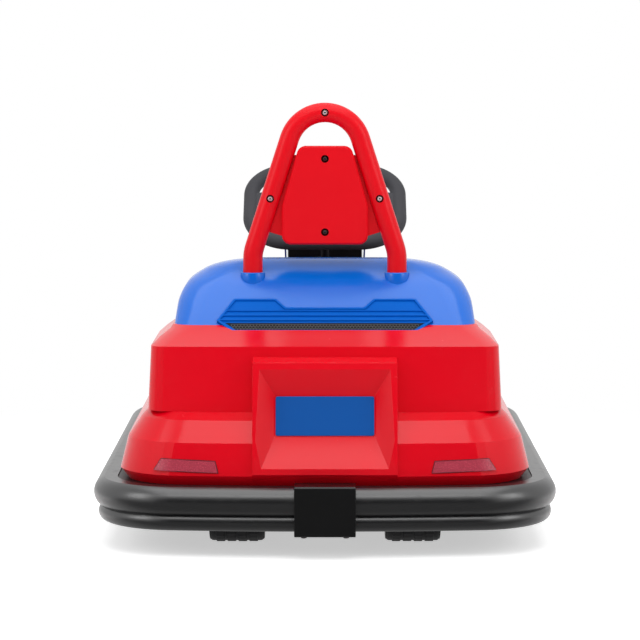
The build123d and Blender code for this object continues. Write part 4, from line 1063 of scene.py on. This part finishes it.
REFLECTOR_POINTS = [(0.162, 0.141), (0.242, 0.1435), (0.253, 0.1265), (0.1575, 0.1235)]
RIM_STEPS = 8
RIM_LIFT = 0.0008
for side, sign in SIDES:
    rim = []
    for first, second in zip(REFLECTOR_POINTS, REFLECTOR_POINTS[1:] + REFLECTOR_POINTS[:1]):
        for step in range(RIM_STEPS):
            x, z = (a + (b - a) * step / RIM_STEPS for a, b in zip(first, second))
            rim.append((sign * x, skirt_rear(x, z) - RIM_LIFT, z))
    wire("reflector_rim_" + side, rim, 0.0007, lens_rim, body_name("reflector_" + side))

# Dark-blue wires along the sides of the clear windscreen are painted shade and dark reflection of
# its edges.
SCREEN_FOOT_X, SCREEN_HEAD_X = 0.0660, 0.0682
screen_low, screen_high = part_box("windscreen")
screen_y = (screen_low[1] + screen_high[1]) / 2
for side, sign in SIDES:
    edge = [(sign * SCREEN_FOOT_X, screen_y, screen_low[2] + 0.001),
            (sign * SCREEN_HEAD_X, screen_y, screen_high[2] - 0.001)]
    wire("screen_edge_shade_" + side, edge, 0.0014, screen_edge_shade, body_name("windscreen"), closed=False)
print("collars, rims and edges are in place")

# %% [markdown]
# ## Padded seat, back and backrest
# A cushion is foam in a sewn cover, so it bulges between its edges. Each pad starts as a slightly
# smaller copy of its solid, remeshed to even voxels. Cloth with inner pressure blows it up, without
# gravity, and a cap keeps it near the foam and off the panel behind it. The sewn channels are
# pressed in last.

# %% Padded forms
VOXEL = 0.005
PRESSURE = 4.0
CLOTH_FRAMES = 20
CHANNEL_WIDTH = 0.006


def held_back(point, start, cap, low, high):
    """A point no farther than the cap from its start, and inside a box."""
    move = point - start
    if move.length > cap:
        point = start + move * (cap / move.length)
    return Vector([min(max(value, small), large) for value, small, large in zip(point, low, high)])


def blown_pad(name, node_name, shrink, cap, proud, channels=(), axis=2):
    """A pad blown up from a CAD solid by cloth pressure, standing for that node."""
    low, high = (Vector(corner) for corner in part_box(node_name))
    middle = (low + high) / 2
    mesh = node_mesh(node_name)
    for vertex in mesh.vertices:
        vertex.co = middle + Vector([a * b for a, b in zip(vertex.co - middle, shrink)])
    merge_loose(mesh)
    pad = link(mesh, name, FINISH_OF_NODE[node_name])
    voxels = pad.modifiers.new("voxels", "REMESH")
    voxels.mode = "VOXEL"
    voxels.voxel_size = VOXEL
    soften = pad.modifiers.new("soften", "SMOOTH")
    soften.factor = 0.5
    soften.iterations = 5
    settle(pad)
    starts = [vertex.co.copy() for vertex in pad.data.vertices]
    cloth = pad.modifiers.new("cover", "CLOTH")
    cloth.settings.use_pressure = True
    cloth.settings.uniform_pressure_force = PRESSURE
    cloth.settings.effector_weights.gravity = 0.0
    cloth.settings.quality = 5
    for number in range(1, CLOTH_FRAMES + 1):
        bpy.context.scene.frame_set(number)
    graph = bpy.context.evaluated_depsgraph_get()
    blown = bpy.data.meshes.new_from_object(pad.evaluated_get(graph))
    moved = [vertex.co.copy() for vertex in blown.vertices]
    pad.modifiers.clear()
    bpy.data.meshes.remove(blown)
    bpy.context.scene.frame_set(1)
    for vertex, start, end in zip(pad.data.vertices, starts, moved):
        vertex.co = held_back(end, start, cap, low, high + Vector(proud))
    for vertex in pad.data.vertices:
        for x_low, y_low, x_high, y_high, depth in channels:
            along = Vector((x_high - x_low, y_high - y_low))
            flat = Vector((vertex.co.x - x_low, vertex.co[3 - axis] - y_low))
            share = min(max(flat.dot(along) / along.length_squared, 0.0), 1.0)
            away = (flat - along * share).length
            if vertex.co[axis] > middle[axis]:
                vertex.co[axis] -= depth * math.exp(-(away / CHANNEL_WIDTH) ** 2)
    smooth = pad.modifiers.new("smooth", "SUBSURF")
    smooth.levels = smooth.render_levels = 1
    smooth_faces(pad.data)
    settle(pad)
    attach(pad, body_name(node_name))
    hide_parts(node_name)
    print(name, "vertices:", len(pad.data.vertices))
    return pad


SEAT_CHANNELS = [(-0.17, -0.062, 0.17, -0.062, 0.006), (-0.062, -0.15, -0.062, 0.03, 0.004),
                 (0.062, -0.15, 0.062, 0.03, 0.004)]
BACK_CHANNELS = [(-0.15, 0.322, 0.15, 0.322, 0.005), (-0.062, 0.262, -0.062, 0.384, 0.004),
                 (0.062, 0.262, 0.062, 0.384, 0.004)]
seat = blown_pad("seat_pad", "seat_cushion", (0.975, 0.96, 0.9), cap=0.008,
                 proud=(0.0, 0.0, 0.006), channels=SEAT_CHANNELS)
back = blown_pad("back_pad", "seat_back_pad", (0.975, 0.96, 0.9), cap=0.008,
                 proud=(0.0, 0.004, 0.0), channels=BACK_CHANNELS, axis=1)
blown_pad("rest_pad", "backrest_pad", (0.95, 0.94, 0.95), cap=0.007, proud=(0.0, 0.004, 0.0))

# %% [markdown]
# The covers are sewn: a line of stitches runs on either side of each channel. Every stitch is a
# short six-sided bead, laid on the pad where a ray from outside meets it.

# %% Stitches
STITCH_PITCH = 0.006
STITCH_LENGTH = 0.0036
STITCH_ASIDE = 0.004
RAY_START = {1: 0.3, 2: 0.5}


def lifted(flat, axis, height):
    """A place on a pad's plan as a point in space, at a height along an axis."""
    return Vector((flat.x, flat.y, height) if axis == 2 else (flat.x, height, flat.y))


def stitch_lines(name, pad, lines, axis):
    """Stitches beside the channels of a pad."""
    tree = BVHTree.FromPolygons([vertex.co for vertex in pad.data.vertices],
                                [face.vertices for face in pad.data.polygons])
    places = []
    for x_low, y_low, x_high, y_high, depth in lines:
        along = Vector((x_high - x_low, y_high - y_low))
        aside = Vector((-along.y, along.x)).normalized() * STITCH_ASIDE
        for offset in (aside, -aside):
            for step in range(1, int(along.length / STITCH_PITCH)):
                run_out = step * STITCH_PITCH / along.length
                flat = Vector((x_low, y_low)) + along * run_out + offset
                run = lifted(along, axis, 0.0)
                spot, normal = tree.ray_cast(lifted(flat, axis, RAY_START[axis]),
                                             lifted(Vector((0.0, 0.0)), axis, -1.0))[:2]
                if spot is None:
                    continue
                run = (run - normal * run.dot(normal)).normalized()
                foot = spot - run * (STITCH_LENGTH / 2) + normal * 0.0001
                places.append((foot, run, 0.0, 1.0))
    grow(name, studs, places, stud(6, 0.0005, 0.0005, STITCH_LENGTH), thread_grey,
         body_of(pad)[0])


stitch_lines("seat_stitches", seat, SEAT_CHANNELS, 2)
stitch_lines("back_stitches", back, BACK_CHANNELS, 1)

# %% [markdown]
# ## Tyres with tread
# The wheels are one-piece plastic with a moulded tread. The tyre is let in a little, and rows of
# square blocks, staggered from row to row, stand on it up to the wheel's own radius.

# %% Wheels
TREAD_DEPTH = 0.0016
TREAD_PITCH = 0.0125
TREAD_ROWS = (-0.3, -0.1, 0.1, 0.3)
TYRE_EDGE = 0.003


def treaded_wheel(node_name):
    """A wheel with its tyre let in and tread blocks round it, standing for a CAD node."""
    low, high = (Vector(corner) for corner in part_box(node_name))
    middle = (low + high) / 2
    radius = (high.z - low.z) / 2
    width = high.x - low.x
    wheel = rounded_copy(node_name, 0.0012, 2, 30.0)
    for vertex in wheel.data.vertices:
        spoke = Vector((0.0, vertex.co.y - middle.y, vertex.co.z - middle.z))
        if spoke.length > radius - TYRE_EDGE:
            vertex.co -= spoke.normalized() * TREAD_DEPTH
    count = 2 * round(math.pi * radius / TREAD_PITCH)
    places = []
    for number, share in enumerate(TREAD_ROWS):
        for step in range(count):
            angle = 2.0 * math.pi * (step + 0.5 * (number % 2)) / count
            outward = Vector((0.0, math.cos(angle), math.sin(angle)))
            foot = middle + outward * (radius - TREAD_DEPTH - 0.0004)
            foot += Vector((width * share, 0.0, 0.0))
            places.append((foot, outward, math.radians(45.0), 1.0))
    grow(node_name + "_tread", studs, places,
         stud(4, width * 0.118, width * 0.1, TREAD_DEPTH + 0.0002), wheel_black,
         body_name(node_name))


for wheel_name in ("rear_wheel_left", "rear_wheel_right", "front_wheel_left", "front_wheel_right"):
    treaded_wheel(wheel_name)
